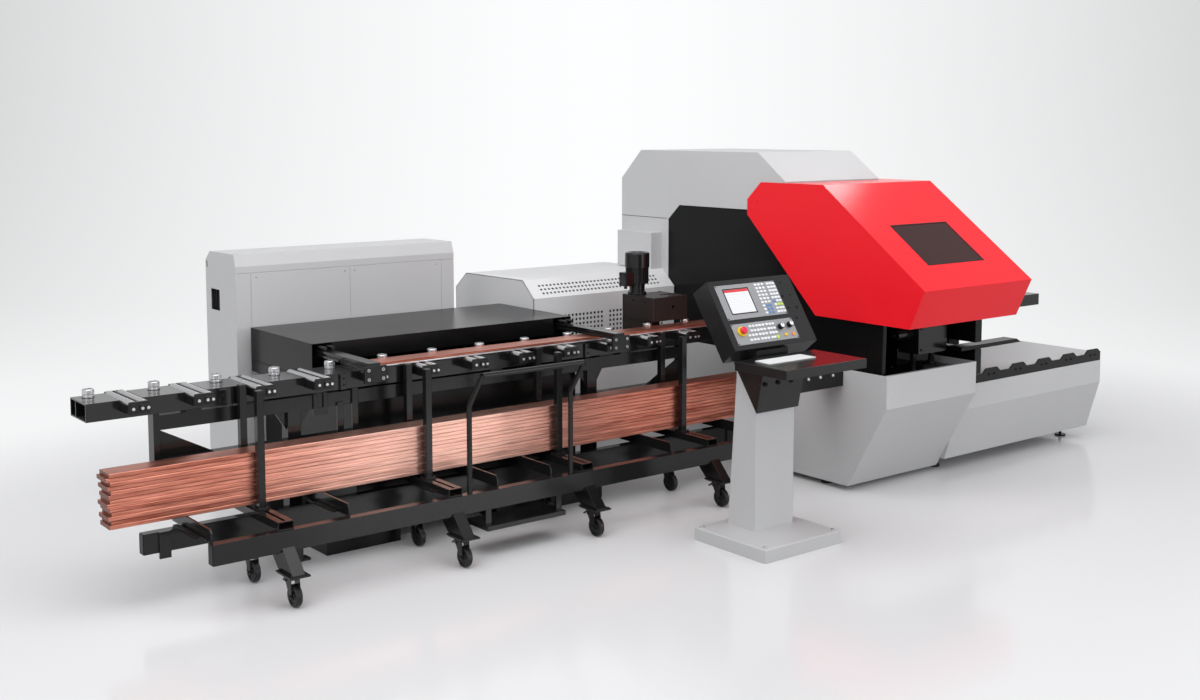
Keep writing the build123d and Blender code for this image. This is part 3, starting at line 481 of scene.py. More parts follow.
# an outline carried along an axis, with its end edges taken off
def slab(outline, axis, start, end, edge=0.6):
    outline = [tuple(p) for p in outline]
    if areaOf(outline) < 0:
        outline.reverse()
    small = inset(outline, edge)
    rows = ((small, start), (outline, start + edge), (outline, end - edge), (small, end))
    points, faces = [], []
    for ring, depth in rows:
        for p in ring:
            spot = list(p)
            spot.insert(axisOf[axis], depth)
            points.append(tuple(spot))
    n = len(outline)
    for r in range(3):
        for k in range(n):
            m = (k + 1) % n
            faces.append((r * n + k, r * n + m, (r + 1) * n + m, (r + 1) * n + k))
    faces.append(tuple(range(n))[::-1])
    faces.append(tuple(range(3 * n, 4 * n)))
    return points, faces

def box(x0, x1, y0, y1, z0, z1, edge=0.8):
    return slab([(x0, y0), (x1, y0), (x1, y1), (x0, y1)], "z", z0, z1, edge)

# a profile of (radius, distance along) turned about an axis through centre
def turned(profile, centre=(0, 0, 0), along=(0, 0, 1), sides=24):
    along = Vector(along).normalized()
    across = along.orthogonal().normalized()
    other = along.cross(across)
    centre = Vector(centre)
    points, faces, rings = [], [], []
    for radius, depth in profile:
        if radius < 1e-6:
            rings.append([len(points)])
            points.append(tuple(centre + along * depth))
            continue
        ring = []
        for k in range(sides):
            a = 2 * pi * k / sides
            ring.append(len(points))
            points.append(tuple(centre + along * depth + (across * cos(a) + other * sin(a)) * radius))
        rings.append(ring)
    for low, high in zip(rings, rings[1:]):
        for k in range(sides):
            m = (k + 1) % sides
            corners = [low[k % len(low)], low[m % len(low)], high[m % len(high)], high[k % len(high)]]
            faces.append(tuple(dict.fromkeys(corners)))
    return points, faces

# a hexagon or other regular outline, to carry along an axis
def regular(centre, radius, sides, turn=0.0):
    return [(centre[0] + radius * cos(turn + 2 * pi * k / sides),
             centre[1] + radius * sin(turn + 2 * pi * k / sides))
            for k in range(sides)]

def joined(shapes):
    points, faces = [], []
    for pts, fcs in shapes:
        start = len(points)
        points += pts
        faces += [tuple(i + start for i in f) for f in fcs]
    return points, faces

def finishMesh(mesh, smooth):
    bm = bmesh.new()
    bm.from_mesh(mesh)
    bmesh.ops.remove_doubles(bm, verts=bm.verts, dist=1e-6)
    bmesh.ops.recalc_face_normals(bm, faces=bm.faces)
    bm.to_mesh(mesh)
    bm.free()
    if smooth:
        for poly in mesh.polygons:
            poly.use_smooth = True
        mesh.set_sharp_from_angle(angle=radians(32))

def settle(name, mesh, body, slotName, finish=None, smooth=True):
    mesh.name = name
    mesh.materials.clear()
    mesh.materials.append(made[finish or slotName])
    finishMesh(mesh, smooth)
    obj = bpy.data.objects.new(name, mesh)
    bpy.context.collection.objects.link(obj)
    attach(obj, body)
    return obj

def piece(name, body, slotName, shapes, finish=None, smooth=True):
    points, faces = joined(shapes)
    mesh = bpy.data.meshes.new(name)
    mesh.from_pydata([at(*p) for p in points], [], faces)
    return settle(name, mesh, body, slotName, finish, smooth)

# Geometry nodes

def closeTree(tree, given, out, geometry):
    realize = addNode(tree, "GeometryNodeRealizeInstances", {0: geometry})
    paint = addNode(tree, "GeometryNodeSetMaterial", {"Geometry": realize.outputs[0], "Material": given["Finish"]})
    link(paint.outputs[0], out[0])
    return tree

# one small shape on every point, standing along the point's own direction
def repeatTree():
    tree, given, out = startTree("repeatOnPoints", "GeometryNodeTree", [
        ("Geometry", "Geometry", None),
        ("Shape", "Object", None), ("Finish", "Material", None),
        ("Turn", "Float", 0.0)], [("Geometry", "Geometry")])
    info = addNode(tree, "GeometryNodeObjectInfo", {"Object": given["Shape"]})
    points = addNode(tree, "GeometryNodeMeshToPoints", {"Mesh": given["Geometry"]})
    facing = tree.nodes.new("GeometryNodeInputNamedAttribute")
    facing.data_type = "FLOAT_VECTOR"
    facing.inputs["Name"].default_value = "facing"
    stand = tree.nodes.new("FunctionNodeAlignEulerToVector")
    stand.axis = "Z"
    link(facing.outputs["Attribute"], stand.inputs["Vector"])
    chance = tree.nodes.new("FunctionNodeRandomValue")
    chance.data_type = "FLOAT"
    chance.inputs["Seed"].default_value = 7
    angle = times(chance.outputs[1], given["Turn"])
    spin = tree.nodes.new("FunctionNodeRotateEuler")
    spin.rotation_type = "AXIS_ANGLE"
    spin.space = "LOCAL"
    spin.inputs["Axis"].default_value = (0, 0, 1)
    link(stand.outputs[0], spin.inputs["Rotation"])
    link(angle, spin.inputs["Angle"])
    place = addNode(tree, "GeometryNodeInstanceOnPoints",
                    {"Points": points.outputs[0], "Instance": info.outputs["Geometry"],
                     "Rotation": spin.outputs[0]})
    return closeTree(tree, given, out, place.outputs[0])

# a sheet with rows of holes, lying in X and Y, its thickness below Z = 0
def perforatedTree():
    tree, given, out = startTree("perforatedSheet", "GeometryNodeTree", [
        ("Geometry", "Geometry", None),
        ("Finish", "Material", None), ("Width", "Float", 1.0), ("Height", "Float", 0.2),
        ("Thickness", "Float", 0.004), ("Hole", "Float", 0.009), ("Corners", "Int", 8),
        ("Turn", "Float", 0.0)], [("Geometry", "Geometry")])
    # the points handed in are the hole centres
    sheetEdge = addNode(tree, "GeometryNodeCurvePrimitiveQuadrilateral",
                        {"Width": given["Width"], "Height": given["Height"]})
    hole = addNode(tree, "GeometryNodeCurvePrimitiveCircle",
                   {"Resolution": given["Corners"], "Radius": given["Hole"]})
    points = addNode(tree, "GeometryNodeMeshToPoints", {"Mesh": given["Geometry"]})
    place = addNode(tree, "GeometryNodeInstanceOnPoints",
                    {"Points": points.outputs[0], "Instance": hole.outputs[0]})
    around = addNode(tree, "ShaderNodeCombineXYZ", {"Z": given["Turn"]})
    link(around.outputs[0], place.inputs["Rotation"])
    real = addNode(tree, "GeometryNodeRealizeInstances", {0: place.outputs[0]})
    both = tree.nodes.new("GeometryNodeJoinGeometry")
    link(sheetEdge.outputs[0], both.inputs[0])
    link(real.outputs[0], both.inputs[0])
    fill = addNode(tree, "GeometryNodeFillCurve", {"Curve": both.outputs[0]})
    thick = tree.nodes.new("GeometryNodeExtrudeMesh")
    thick.inputs["Individual"].default_value = False
    link(fill.outputs[0], thick.inputs["Mesh"])
    link(given["Thickness"], thick.inputs["Offset Scale"])
    shut = tree.nodes.new("GeometryNodeJoinGeometry")
    link(thick.outputs["Mesh"], shut.inputs[0])
    link(fill.outputs[0], shut.inputs[0])
    weld = tree.nodes.new("GeometryNodeMergeByDistance")
    weld.inputs["Distance"].default_value = 0.00001
    link(shut.outputs[0], weld.inputs["Geometry"])
    return closeTree(tree, given, out, weld.outputs[0])

def runTree(tree, mesh, values):
    carrier = bpy.data.objects.new("carrier", mesh)
    bpy.context.collection.objects.link(carrier)
    mod = carrier.modifiers.new("nodes", "NODES")
    mod.node_group = tree
    for item in tree.interface.items_tree:
        if item.in_out == "INPUT" and item.name in values:
            mod[item.identifier] = values[item.name]
    bpy.context.view_layer.update()
    graph = bpy.context.evaluated_depsgraph_get()
    result = bpy.data.meshes.new_from_object(carrier.evaluated_get(graph))
    carrier.modifiers.remove(mod)
    bpy.data.objects.remove(carrier)
    return result

# shape is in millimetres about its own zero, standing on Z = 0
def repeated(name, body, slotName, shape, spots, finish=None, turn=0.0):
    small = bpy.data.meshes.new("small")
    small.from_pydata([Vector(p) / 1000 for p in shape[0]], [], shape[1])
    finishMesh(small, True)
    pattern = bpy.data.objects.new("pattern", small)
    bpy.context.collection.objects.link(pattern)
    mesh = bpy.data.meshes.new("spots")
    mesh.from_pydata([at(*spot) for spot, facing in spots], [], [])
    way = mesh.attributes.new("facing", "FLOAT_VECTOR", "POINT")
    for k, (spot, facing) in enumerate(spots):
        way.data[k].vector = Vector(facing).normalized()
    result = runTree(trees["repeat"], mesh, {
        "Shape": pattern, "Finish": made[finish or slotName], "Turn": turn})
    bpy.data.objects.remove(pattern)
    return settle(name, result, body, slotName, finish)

# the flat sheet from one fold (y, z) to the next; holes are (across, up) from its centre
def perforated(low, high, holes, radius, corners, turn=0.0, side=1):
    x0, x1 = coverSet["x"]
    thickness = coverSet["sheet"]
    (ya, za), (yb, zb) = low, high
    length = hypot(yb - ya, zb - za)
    mesh = bpy.data.meshes.new("holes")
    mesh.from_pydata([(u / 1000, v / 1000, 0) for u, v in holes], [], [])
    flat = runTree(trees["perforated"], mesh, {
        "Finish": made["grey"], "Width": (x1 - x0) / 1000, "Height": length / 1000,
        "Thickness": thickness / 1000,
        "Hole": radius / 1000, "Corners": corners, "Turn": turn})
    across = Vector((side, 0, 0))
    up = Vector((0, (yb - ya) / length, (zb - za) / length)).normalized()
    out = across.cross(up)
    origin = Vector(((x0 + x1) / 2, (ya + yb) / 2, (za + zb) / 2))
    points = []
    for v in flat.vertices:
        spot = origin + (across * v.co.x + up * v.co.y + out * (v.co.z - thickness / 1000)) * 1000
        points.append(tuple(spot))
    faces = [tuple(p.vertices) for p in flat.polygons]
    bpy.data.meshes.remove(flat)
    return points, faces

# Small fasteners, standing on Z = 0

def socketScrew(radius, height, sides=12):  # cap screw with a hexagon socket
    inner = radius * 0.52
    depth = height * 0.55
    return turned([(0, 0), (radius, 0), (radius, height * 0.86), (radius * 0.9, height), (inner, height),
                   (inner * 0.98, height - depth), (0, height - depth)], sides=sides)

def hexBolt(radius, height):  # washer below a hexagon head
    washer = turned([(0, 0), (radius * 1.35, 0), (radius * 1.35, height * 0.22), (0, height * 0.22)],
                    sides=14)
    head = slab(regular((0, 0), radius, 6), "z", height * 0.22, height, radius * 0.08)
    return joined([washer, head])

def domeScrew(radius, height):
    return turned([(0, 0), (radius, 0), (radius * 0.94, height * 0.5), (radius * 0.6, height * 0.9),
                   (radius * 0.38, height), (radius * 0.34, height * 0.5), (0, height * 0.5)], sides=12)

# Operator console

consoleSet = {
    "foot": (2966, -1357, 1074), "head": (-1128, 1418), "screen": (91, 212, 269, 353), "keySize": (17, 13,
                                                                                                   4.5),
    "columns": (338, 364, 391, 430, 453, 475), "rowTop": 368, "rowPitch": 21.6, "rows": 9,
}

def faceSpot(u, v, w=0.0):  # across, up and out of the console face
    x, y, z = consoleSet["foot"]
    rise = Vector((0, consoleSet["head"][0] - y, consoleSet["head"][1] - z)).normalized()
    out = Vector((1, 0, 0)).cross(rise)
    return tuple(Vector((x, y, z)) + Vector((1, 0, 0)) * u + rise * v + out * w)

def faceOut():
    return tuple(Vector(faceSpot(0, 0, 1)) - Vector(faceSpot(0, 0, 0)))

def onFace(outline, low, high, edge):
    points, faces = slab(outline, "z", low, high, edge)
    return [faceSpot(*p) for p in points], faces

def rounded(x0, y0, x1, y1, r, steps=4):
    corners = ((x1 - r, y0 + r, -90), (x1 - r, y1 - r, 0), (x0 + r, y1 - r, 90), (x0 + r, y0 + r, 180))
    return [(cx + r * cos(radians(a + 90 * k / steps)), cy + r * sin(radians(a + 90 * k / steps)))
            for cx, cy, a in corners for k in range(steps + 1)]

def keyShape(width, depth, height):  # a key with sloping sides and a dished top
    rows = ((width, depth, 0, 1.5), (width, depth, height * 0.5, 1.5), (width - 3, depth - 3, height, 2.2),
            (width - 6, depth - 6, height - 0.6, 1.0))
    points, faces = [], []
    for w, d, z, r in rows:
        points += [(x, y, z) for x, y in rounded(-w / 2, -d / 2, w / 2, d / 2, r, 2)]
    n = len(points) // len(rows)
    for r in range(len(rows) - 1):
        for k in range(n):
            m = (k + 1) % n
            faces.append((r * n + k, r * n + m, (r + 1) * n + m, (r + 1) * n + k))
    faces.append(tuple(range(n))[::-1])
    faces.append(tuple(range((len(rows) - 1) * n, len(rows) * n)))
    return points, faces

def addConsole():
    s = consoleSet
    u0, v0, u1, v1 = s["screen"]
    piece("screenGlass", "line", "pane", [onFace(rounded(u0, v0, u1, v1, 3), 2.05, 2.9, 0.3)], "screen")
    rim = joined([onFace(rounded(a, b, c, d, 2), 3, 4.2, 0.4) for a, b, c, d in
                  ((u0 - 7, v0 - 7, u0 - 1, v1 + 7), (u1 + 1, v0 - 7, u1 + 7, v1 + 7),
                   (u0 - 1.5, v0 - 7, u1 + 1.5, v0 - 1), (u0 - 1.5, v1 + 1, u1 + 1.5, v1 + 7))])
    piece("screenRim", "line", "black_plastic", [rim])
    # the keys: upper block right of the screen, lower block between stop and knobs
    white, blue, lime = [], [], []
    for r in range(s["rows"]):
        v = s["rowTop"] - s["rowPitch"] * r
        for c, u in enumerate(s["columns"]):
            if r >= 6 and c in (1, 2) or (r, c) == (5, 3):
                blue.append((u, v))
            elif r == 6 and c in (4, 5):
                lime.append((u, v))
            else:
                white.append((u, v))
    lower = {128: (171, 195, 220, 244, 268, 298, 321, 343), 102: (171, 195, 220, 244, 269, 300, 322, 344),
             76: (143, 168, 192, 221, 245, 269, 300, 322, 344), 49: (143, 168, 192, 223, 246, 270, 300, 320)}
    for v, columns in lower.items():
        white += [(u, v) for u in columns]
    out = faceOut()
    # a key's length runs along the line, so its points are turned onto the face here
    rise = Vector(faceSpot(0, 1)) - Vector(faceSpot(0, 0))
    turnTo = Matrix((Vector((1, 0, 0)), rise, Vector(out))).transposed()
    points, faces = keyShape(*s["keySize"])
    key = ([tuple(turnTo @ Vector(p)) for p in points], faces)
    for name, slotName, finish, spots in (("keysWhite", "silver", "keyWhite", white),
                                          ("keysBlue", "silver", "keyBlue", blue),
                                          ("keysLime", "green", "green", lime)):
        repeated(name, "line", slotName, key, [(faceSpot(u, v, 3), (0, 0, 1)) for u, v in spots], finish)
    # white caps with a dark pointer on the knobs
    for name, body, (u, v) in (("feedCap", "feed_dial", (390, 104)),
                               ("spindleCap", "spindle_dial", (463, 109))):
        cap = turned([(0, 24.2), (12.5, 24.2), (13.2, 25), (12.2, 27), (0, 27.4)], faceSpot(u, v), out, 28)
        piece(name, body, "black_plastic", [cap], "keyWhite")
        mark = onFace([(u - 1.4, v + 2), (u + 1.4, v + 2), (u + 1.4, v + 11), (u - 1.4, v + 11)], 27.2,
                      28.2, 0.2)
        grips = [turned([(0, 9), (2.2, 9), (2.2, 22), (1.4, 23.4), (0, 23.4)],
                        faceSpot(u + 14 * cos(pi * k / 6), v + 14 * sin(pi * k / 6)), out, 8)
                 for k in range(12)]
        piece(name + "Grip", body, "black_plastic", [mark] + grips)
    # dial scales: short strokes round both knobs
    strokes = []
    for u, v in ((390, 104), (463, 109)):
        for k in range(11):
            a = radians(225 - 27 * k)
            corners = [(u + cos(a) * r - sin(a) * t, v + sin(a) * r + cos(a) * t)
                       for r, t in ((20, -0.6), (25, -0.6), (25, 0.6), (20, 0.6))]
            strokes.append(onFace(corners, 2.9, 3.3, 0.1))
    piece("dialStrokes", "line", "black_plastic", strokes)
    # unused switch places right of the panels, closed with black plugs
    plugs = [turned([(0, -0.5), (r, -0.5), (r, 1.2), (r * 0.8, 2.0), (0, 1.4)], faceSpot(u, v), out, 20)
             for u, v, r in ((511, 286, 9), (575, 289, 5), (521, 212, 6), (582, 208, 8),
                             (546, 145, 7), (538, 367, 5))]
    piece("switchPlugs", "line", "black_plastic", plugs, "shade")
    corners = [(8, 8), (617, 8), (8, 405), (617, 405)]
    panels = [(45, 183), (486, 183), (45, 377), (486, 377), (46, 33), (494, 33), (46, 144), (494, 144)]
    spots = [(faceSpot(u, v, 0), out) for u, v in corners] + [(faceSpot(u, v, 3), out) for u, v in panels]
    repeated("consoleScrews", "line", "black_plastic", domeScrew(4, 2.4), spots, turn=6.0)
    # a thin pale pad lying on the shelf
    pad = slab([(3027, -1550), (3376, -1548), (3376, -1434), (3033, -1436)], "z", 1022, 1027, 1.2)
    piece("shelfPad", "line", "grey", [pad], "paleSheet")
    bolts = [((x, y, 72), (0, 0, 1)) for x in (2962, 3480) for y in (-1594, -1119)]
    repeated("standBolts", "line", "steel", hexBolt(9, 9), bolts)
    # screws through the bracket's sloping front, in its holes and in a lower row
    lean = (0, -236, -52)
    spots = [((x, -1418.5, 925), lean) for x in (3215, 3270, 3325)]
    spots += [((x, -1409.5, 884), lean) for x in (3138, 3236, 3334)]
    repeated("bracketScrews", "line", "black", socketScrew(12, 7), spots, "shade")

# Power unit cover: bent sheet with real perforations

coverSet = {
    "x": (3125, 4340), "roof": ((681, 1134), (807, 1246), (1480, 1239), (1614, 1131)), "sheet": 4.0,
    "firstHole": 3227, "holePitch": 30.9, "bevelRows": (41, 74.5, 108), "bevelHole": 9.0,
    "squareTop": 1003, "squareRows": 8, "squareColumns": 16, "secondField": 17.35, "square": 11.5,
    "finePitch": 22.0, "fineHole": 5.5, "rearPitch": 34.0, "rearHole": 9,
}

def addPowerCover():
    s = coverSet
    x0, x1 = s["x"]
    middle = (x0 + x1) / 2
    front, ridge, crest, rear = s["roof"]
    first, pitch, fine, t = s["firstHole"], s["holePitch"], s["finePitch"], s["sheet"]
    # front bevel: rows of round holes
    length = hypot(ridge[0] - front[0], ridge[1] - front[1])
    count = int((x0 + x1 - 2 * first) / pitch) + 1
    holes = [(first + pitch * k - middle, v - length / 2) for k in range(count) for v in s["bevelRows"]]
    shapes = [perforated(front, ridge, holes, s["bevelHole"], 10)]
    # front face: two fields of square holes
    holes = [(first + pitch * (c + s["secondField"] * field) - middle,
              s["squareTop"] - pitch * r - front[1] / 2)
             for field in (0, 1) for c in range(s["squareColumns"]) for r in range(s["squareRows"])]
    shapes.append(perforated((front[0], 0), front, holes, s["square"], 4, pi / 4))
    # roof: a close field of small holes, every other row shifted
    length = hypot(crest[0] - ridge[0], crest[1] - ridge[1])
    across = int((x1 - x0 - 200) / fine)
    deep = int((length - 80) / fine)
    holes = [((c - across / 2) * fine + (fine / 2 if r % 2 else 0) - fine / 4, (r - deep / 2) * fine)
             for c in range(across + 1) for r in range(deep + 1)]
    shapes.append(perforated(ridge, crest, holes, s["fineHole"], 6))
    # a plain rear bevel, and a field of round holes in the rear wall
    shapes.append(perforated(crest, rear, [], s["fineHole"], 6))
    holes = [(c * s["rearPitch"], r * s["rearPitch"] + 150) for c in range(-15, 16) for r in range(-4, 5)]
    shapes.append(perforated((rear[0], 0), rear, holes, s["rearHole"], 8, side=-1))
    # closed ends, and a foot between them
    outline = [(front[0], 0)] + list(s["roof"]) + [(rear[0], 0)]
    if areaOf(outline) < 0:
        outline = outline[::-1]
    inner = inset(outline, t)
    for a, b in ((x0, x0 + t), (x1 - t, x1)):
        shapes.append(slab(outline, "x", a, b, 0.5))
    shapes.append(box(x0 + t, x1 - t, front[0] + t, rear[0] - t, 0, 60, 1))
    cover = piece("perforatedCover", "line", "grey", shapes, "paleGrey")
    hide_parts("power_unit_cover")
    # the unit inside as a dark block of painted shade, so that the holes look into shade
    deep = inset(inner, 26)
    low = [(y, max(z, 70)) for y, z in deep]
    piece("coverInside", "line", "black", [slab(low, "x", x0 + 34, x1 - 34, 3)], "shade")
    spots = [((x, front[0], z), (0, -1, 0)) for x in (x0 + 40, x1 - 40) for z in (90, 560, 1050)]
    spots += [((x0, y, z), (-1, 0, 0)) for y, z in ((720, 90), (1575, 90), (720, 1060), (1575, 1060))]
    repeated("coverScrews", "line", "steel", domeScrew(5, 2.5), spots, turn=6.0)

# Beam and arms

beamSet = {"strip": (1500, 4344), "stripSide": (-124, -114), "stripHeight": (976.6, 984), "pinPitch": 317.3,
           "firstPin": 65, "pins": 13}

def addBeamDetails():
    s = beamSet
    a, b = s["strip"]
    y0, y1 = s["stripSide"]
    z0, z1 = s["stripHeight"]
    piece("edgeStrip", "line", "steel",
          [slab([(y0, z0), (y1, z0), (y1, z1 - 1.5), (y1 - 1.5, z1), (y0 + 1.5, z1), (y0, z1 - 1.5)], "x",
                a, b, 1)])
    # painted shade: a dark ring at the foot of each guide pin and a dark disc for the shade in its socket
    shade = joined([turned([(0, 0), (29.6, 0), (29.6, 1.6), (0, 1.6)]),
                    turned([(0, 20.4), (14.6, 20.4), (14.6, 38), (0, 38)], sides=12)])
    spots = [((s["firstPin"] + s["pinPitch"] * k, 50, 968), (0, 0, 1)) for k in range(s["pins"])]
    repeated("pinSeats", "line", "steel", shade, spots, "shade")
    # cap screws along the beam's back
    spots = [((x, 110, 924), (0, 1, 0)) for x in range(140, 4300, 317)]
    repeated("beamScrews", "line", "steel", socketScrew(7, 6), spots, turn=6.0)

# fittings where the transfer arms leave the loader: a twin guide with nuts and springs
def addArmFittings():
    for name, body, x in (("leftArmGuide", "arm_left", 1410), ("rightArmGuide", "arm_right", 3045)):
        shapes = []
        for dx in (-24, 24):
            turns = []
            for k in range(15):
                turns += [(9 if k % 2 else 6.5, 205 + 6 * k)]
            shapes.append(turned([(0, 196)] + [(11, 196), (11, 204)] + turns + [(11, 296), (11, 304),
                                                                                (0, 304)],
                                 (x + dx, 0, 1049), (0, 1, 0), 12))
        piece(name, body, "black", shapes)
        spots = [((x + dx, -314, z), (0, -1, 0)) for dx in (-42, 42) for z in (955, 1002)]
        repeated(name + "Screws", body, "steel", socketScrew(8.5, 7), spots, turn=6.0)

# the loader's left side reaches lower than its cover, with a folded lip
def addLoaderSide():
    panel = slab([(268, 812), (1047, 812), (1047, 877), (268, 877)], "x", 1338, 1340, 0.4)
    lip = box(1340, 1356, 268, 1047, 812, 814, 0.4)
    piece("loaderSide", "line", "black", [panel, lip], "plateBlack")
    spots = [((1338, y, 860), (-1, 0, 0)) for y in (300, 658, 1015)]
    repeated("loaderSideScrews", "line", "black", domeScrew(5, 2.5), spots, turn=6.0)

# Press side

pressSet = {"windowX": (4570, 5095), "windowY": (-1342, -1055), "slope": ((-1517, 1301), (-718, 1890))}

def slopeSpot(x, y, out=0.0):
    (ya, za), (yb, zb) = pressSet["slope"]
    length = hypot(yb - ya, zb - za)
    z = za + (y - ya) / (yb - ya) * (zb - za)
    return (x, y - out * (zb - za) / length, z + out * (yb - ya) / length)

def addHoodDetails():
    x0, x1 = pressSet["windowX"]
    y0, y1 = pressSet["windowY"]
    out = tuple(Vector(slopeSpot(0, y0, 1)) - Vector(slopeSpot(0, y0, 0)))
    # rubber profile round the window
    bars = []
    for a, b, c, d in ((x0 - 9, x1 + 9, y0 - 7, y0), (x0 - 9, x1 + 9, y1, y1 + 7), (x0 - 9, x0, y0, y1),
                       (x1, x1 + 9, y0, y1)):
        corners = [slopeSpot(a, c), slopeSpot(b, c), slopeSpot(b, d), slopeSpot(a, d)]
        tops = [slopeSpot(p[0], p[1], 1.6) for p in corners]
        points = [tuple(Vector(p) - Vector(out) * 1.0) for p in corners] + tops
        faces = [(3, 2, 1, 0), (4, 5, 6, 7)] + [(k, (k + 1) % 4, (k + 1) % 4 + 4, k + 4) for k in range(4)]
        bars.append((points, faces))
    piece("windowSeal", "hood", "pane", bars, "black_plastic", smooth=False)
    spots = [(slopeSpot(x, y, 1.5), out) for x in (x0 - 4.5, x1 + 4.5) for y in (y0 + 30, y1 - 30)]
    repeated("windowScrews", "hood", "steel", domeScrew(3.2, 1.8), spots, finish="black_plastic")

def addPressDetails():
    # screws on the housing's side seam and box, in the side's own colour
    spots = [((4340, y, z), (-1, 0, 0)) for y, z in ((800, 1560), (1215, 1560), (800, 1160), (1215, 900))]
    spots += [((4240, y, z), (-1, 0, 0)) for y in (838, 1177) for z in (1264, 1485)]
    repeated("housingScrews", "line", "grey", domeScrew(5, 2.2), spots, turn=6.0)
    # a seam strip across the housing's side
    piece("housingSeam", "line", "grey",
          [slab([(760, 1602), (1258, 1602), (1258, 1605), (760, 1605)], "x", 4338.6, 4340.3, 0.2)], "shade")
    # a hose fitting on the cylinder's end
    piece("cylinderFitting", "punch", "steel", [
        slab(regular((-1000, 950), 15, 6), "x", 4683, 4694, 1.2),
        turned([(0, -16), (6, -16), (8, -14), (8, 0), (0, 0)], (4683, -1000, 950), (1, 0, 0), 16)], "black")
    # cap screws on the bolster and the punch head
    spots = [((x, y, 725), (0, 0, 1)) for x in (4785, 5145) for y in (-1100, -900)]
    repeated("bolsterScrews", "line", "black", socketScrew(9, 8), spots, turn=6.0)
    spots = [((x, -1080, z), (0, -1, 0)) for x in (4850, 5080) for z in (850, 985)]
    repeated("headScrews", "punch", "black", socketScrew(8, 6), spots, turn=6.0)
    spots = [((x, -1233, 620), (0, -1, 0)) for x in (4380, 5170)]
    repeated("skirtScrews", "line", "grey", domeScrew(4.5, 2), spots, turn=6.0)
    # pale caps on the three bolts of the bracket at the skirt's left
    spots = [((x, -899.5, 734), (0, -1, 0)) for x in (4023, 4127, 4240)]
    repeated("bracketCaps", "line", "grey", domeScrew(9.5, 3), spots, "paleSheet")

stripSet = {"side": -1098, "first": 5507, "pitch": 297, "top": 118, "count": 5}

def addOutfeedDetails():
    s = stripSet
    spots = [((s["first"] + s["pitch"] * k + s["top"] / 2 + dx, s["side"], 622), (0, -1, 0))
             for k in range(s["count"]) for dx in (-28, 28)
             if s["first"] + s["pitch"] * k + s["top"] / 2 + dx < 6835]
    repeated("stripScrews", "line", "black_plastic", socketScrew(7, 5), spots, turn=6.0)
    # screws of the top plate
    spots = [((x, y, 637), (0, 0, 1)) for x in (5340, 5820, 6300, 6790) for y in (-1060, -450)]
    repeated("plateScrews", "line", "steel", domeScrew(6, 2), spots, turn=6.0)

# Rear doors, hinges, handles and louvres

rearSet = {"cabinetBack": 1527, "housingBack": 1262, "louvrePitch": 18, "louvres": 12}

def rearDoor(x0, x1, z0, z1, back, thick=3.0):
    return slab(rounded(x0, z0, x1, z1, 4, 3), "y", back, back + thick, 0.8)

def addRear():
    s = rearSet
    back = s["cabinetBack"]
    doors = [rearDoor(1296, 2019, 70, 1395, back), rearDoor(2027, 2750, 70, 1395, back)]
    hb = s["housingBack"]
    doors += [rearDoor(4372, 5208, 800, 1840, hb)]
    piece("rearDoors", "line", "grey", doors)
    louvre = slab([(0, 0), (0, 9), (1.2, 10), (9, 2), (9, 0)], "x", -90, 90, 1)
    spots = []
    for x, top, wall in ((1657, 1300, back), (2388, 1300, back), (1657, 330, back), (2388, 330, back),
                         (4790, 1150, hb), (4790, 1700, hb)):
        spots += [((x, wall + 2.5, top - s["louvrePitch"] * k), (0, 0, 1)) for k in range(s["louvres"])]
    repeated("louvres", "line", "grey", louvre, spots)
    hinge = turned([(0, -34), (7, -34), (7, -12), (5.5, -11), (5.5, 11), (7, 12), (7, 34), (0, 34)], sides=12)
    spots = [((x, back + 4, z), (0, 0, 1)) for x in (1296, 2750) for z in (200, 730, 1260)]
    spots += [((4372, hb + 4, z), (0, 0, 1)) for z in (930, 1700)]
    repeated("doorHinges", "line", "black_plastic", hinge, spots)
    handles = []
    for x, z, wall in ((1985, 760, back), (2062, 760, back), (5170, 1320, hb)):
        handles.append(slab(rounded(x - 14, z - 60, x + 14, z + 60, 6), "y", wall + 2, wall + 7, 1))
        handles.append(slab(rounded(x - 8, z - 48, x + 8, z + 22, 7), "y", wall + 7, wall + 14, 2))
        handles.append(turned([(0, 0), (7, 0), (7, 4), (5.5, 5), (0, 5)], (x, wall + 7, z + 40), (0, 1, 0),
                              20))
    piece("doorHandles", "line", "black_plastic", handles)
    # screws at the cabinet's front
    spots = [((x, 1091, z), (0, -1, 0)) for x in (1401, 1985, 2052, 2646) for z in (1362, 30)]
    repeated("doorScrews", "line", "steel", domeScrew(6, 2.5), spots, turn=6.0)
    # the socket in the cabinet's end
    frameBar = [slab([(1322, 1140), (1459, 1140), (1459, 1277), (1322, 1277)], "x", 1286, 1290, 0.8)]
    slats = [slab([(1336 + 26 * k, 1150), (1346 + 26 * k, 1150), (1346 + 26 * k, 1267),
                   (1336 + 26 * k, 1267)], "x", 1279, 1286, 1) for k in range(5)]
    piece("cabinetSocket", "line", "black_plastic", frameBar + slats, "shade")

# Motor and gearbox

motorSet = {"x": 3665, "y": 283, "top": 1439}

